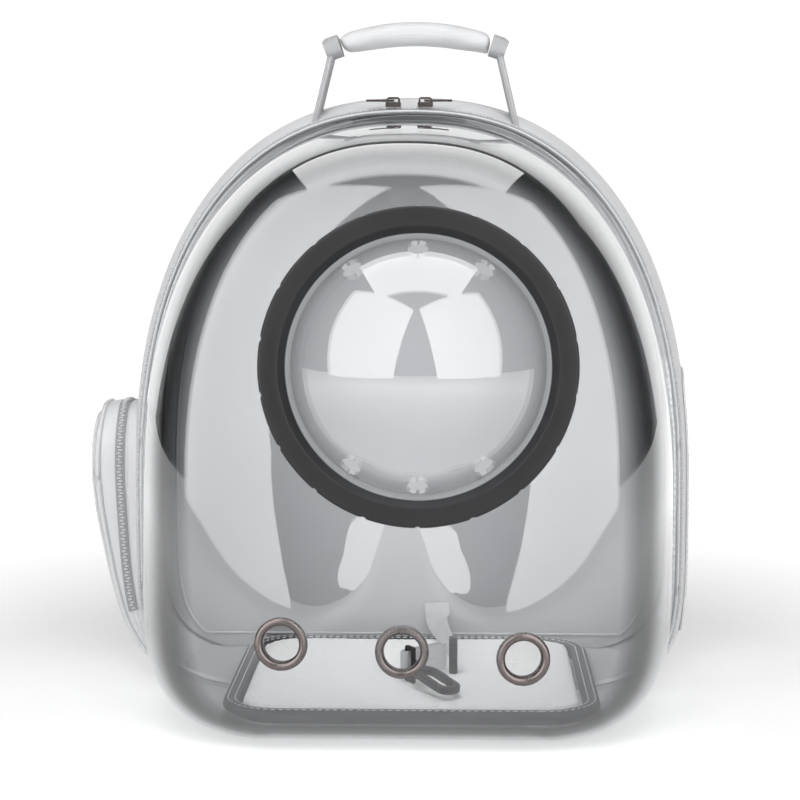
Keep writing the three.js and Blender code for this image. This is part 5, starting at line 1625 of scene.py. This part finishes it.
def shoulder_strap(side, label):
    off = BACK_FACE + SEAM_GAP + STRAP_THICK / 2
    points = [put(
        side * (STRAP_SPACING / 2 + STRAP_SPLAY * down), off + STRAP_BOW * out,
        STRAP_TOP + (STRAP_END - STRAP_TOP) * down) for down, out in STRAP_ROWS]
    path = smooth_path(points, 60)
    strap = sweep("padded_strap_" + label, path, strap_section, sideways=ACROSS)
    complete(strap, 60, WHITE_LEATHER, "white_cloth", "shoulder_strap_" + label)
    for name, place in (("left_row", -1), ("right_row", 1)):
        line = []
        for index, point in enumerate(path[2:-2]):
            along = (path[index + 3] - path[index + 1]).normalized()
            up = along.cross(ACROSS).normalized()
            shift = Vector((place * (STRAP_WIDTH / 2 - STRAP_EDGE - 0.6), 0, 0)) * MM
            line.append(point + shift + up * 3.9 * MM * (-1 if up.y < 0 else 1))
        stitches(f"strap_{label}_{name}", line, 3.2, 5.0, closed=False)

    heading = (points[-1] - path[-3]).normalized()
    adjuster_at = points[-1] + heading * (SEAM_GAP + ADJUSTER_HEIGHT / 2 + STRAP_THICK * 0.1) * MM
    up = heading.cross(ACROSS).normalized()
    wide = up.cross(heading).normalized()
    ladder_lock(label, framed(adjuster_at, wide, heading, wide.cross(heading)))

    web_top = adjuster_at + heading * (ADJUSTER_HEIGHT / 2 + SEAM_GAP * 2 + LOWER_THICK / 2) * MM
    foot_y = BACK_FACE + SEAM_GAP + ANCHOR_THICK + SEAM_GAP + LOWER_THICK / 2
    foot = put(side * (STRAP_SPACING / 2 + STRAP_SPLAY), foot_y, ANCHOR_HEIGHT - ANCHOR_SIZE / 4)
    bend = foot + Vector((0, 0, ANCHOR_SIZE / 2 * MM))
    web = smooth_path([web_top, web_top.lerp(bend, 0.6), bend, foot], 40)
    for point in web:
        point.y = max(point.y, foot.y)
    lower = ribbon("lower_webbing_" + label, web, LOWER_WIDTH, LOWER_THICK, 5.0, 32, ACROSS)
    complete(lower, 45, LOWER_WEAVE, "webbing", "strap_webbing_" + label)

    anchor = small_block("sewn_patch_" + label, (ANCHOR_SIZE, ANCHOR_THICK, ANCHOR_SIZE), 0.9, 4)
    middle_y = BACK_FACE + SEAM_GAP + ANCHOR_THICK / 2
    centre = put(side * (STRAP_SPACING / 2 + STRAP_SPLAY), middle_y, ANCHOR_HEIGHT)
    anchor.data.transform(Matrix.Translation(centre))
    complete(anchor, 45, WHITE_LEATHER, "white_cloth", "strap_anchor_" + label)
    half = ANCHOR_SIZE / 2 - 2.5
    outside = ANCHOR_THICK / 2 + 0.1
    corners = [(-half, -half), (half, -half), (half, half), (-half, half)]
    square = [centre + Vector((a, outside, b)) * MM for a, b in corners]
    stitches("patch_square_" + label, square, 2.8, 4.2)


LOWER_WEAVE = ribbed_webbing("lower_webbing_weave", (0.74, 0.745, 0.76), 11.0, 30.0)
shoulder_strap(-1, "left")
shoulder_strap(1, "right")


# Fittings that keep their solids

KEPT_NODES = (
    "zip_slider_left", "zip_slider_right", "zip_pull_left", "zip_pull_right", "pocket_slider",
    "pocket_pull")
for node in KEPT_NODES:
    paint(bpy.data.objects[node], METAL)

sizes = {"cad": cad_box, "visual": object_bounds()}
{name: [[float(v) for v in corner] for corner in box] for name, box in sizes.items()}
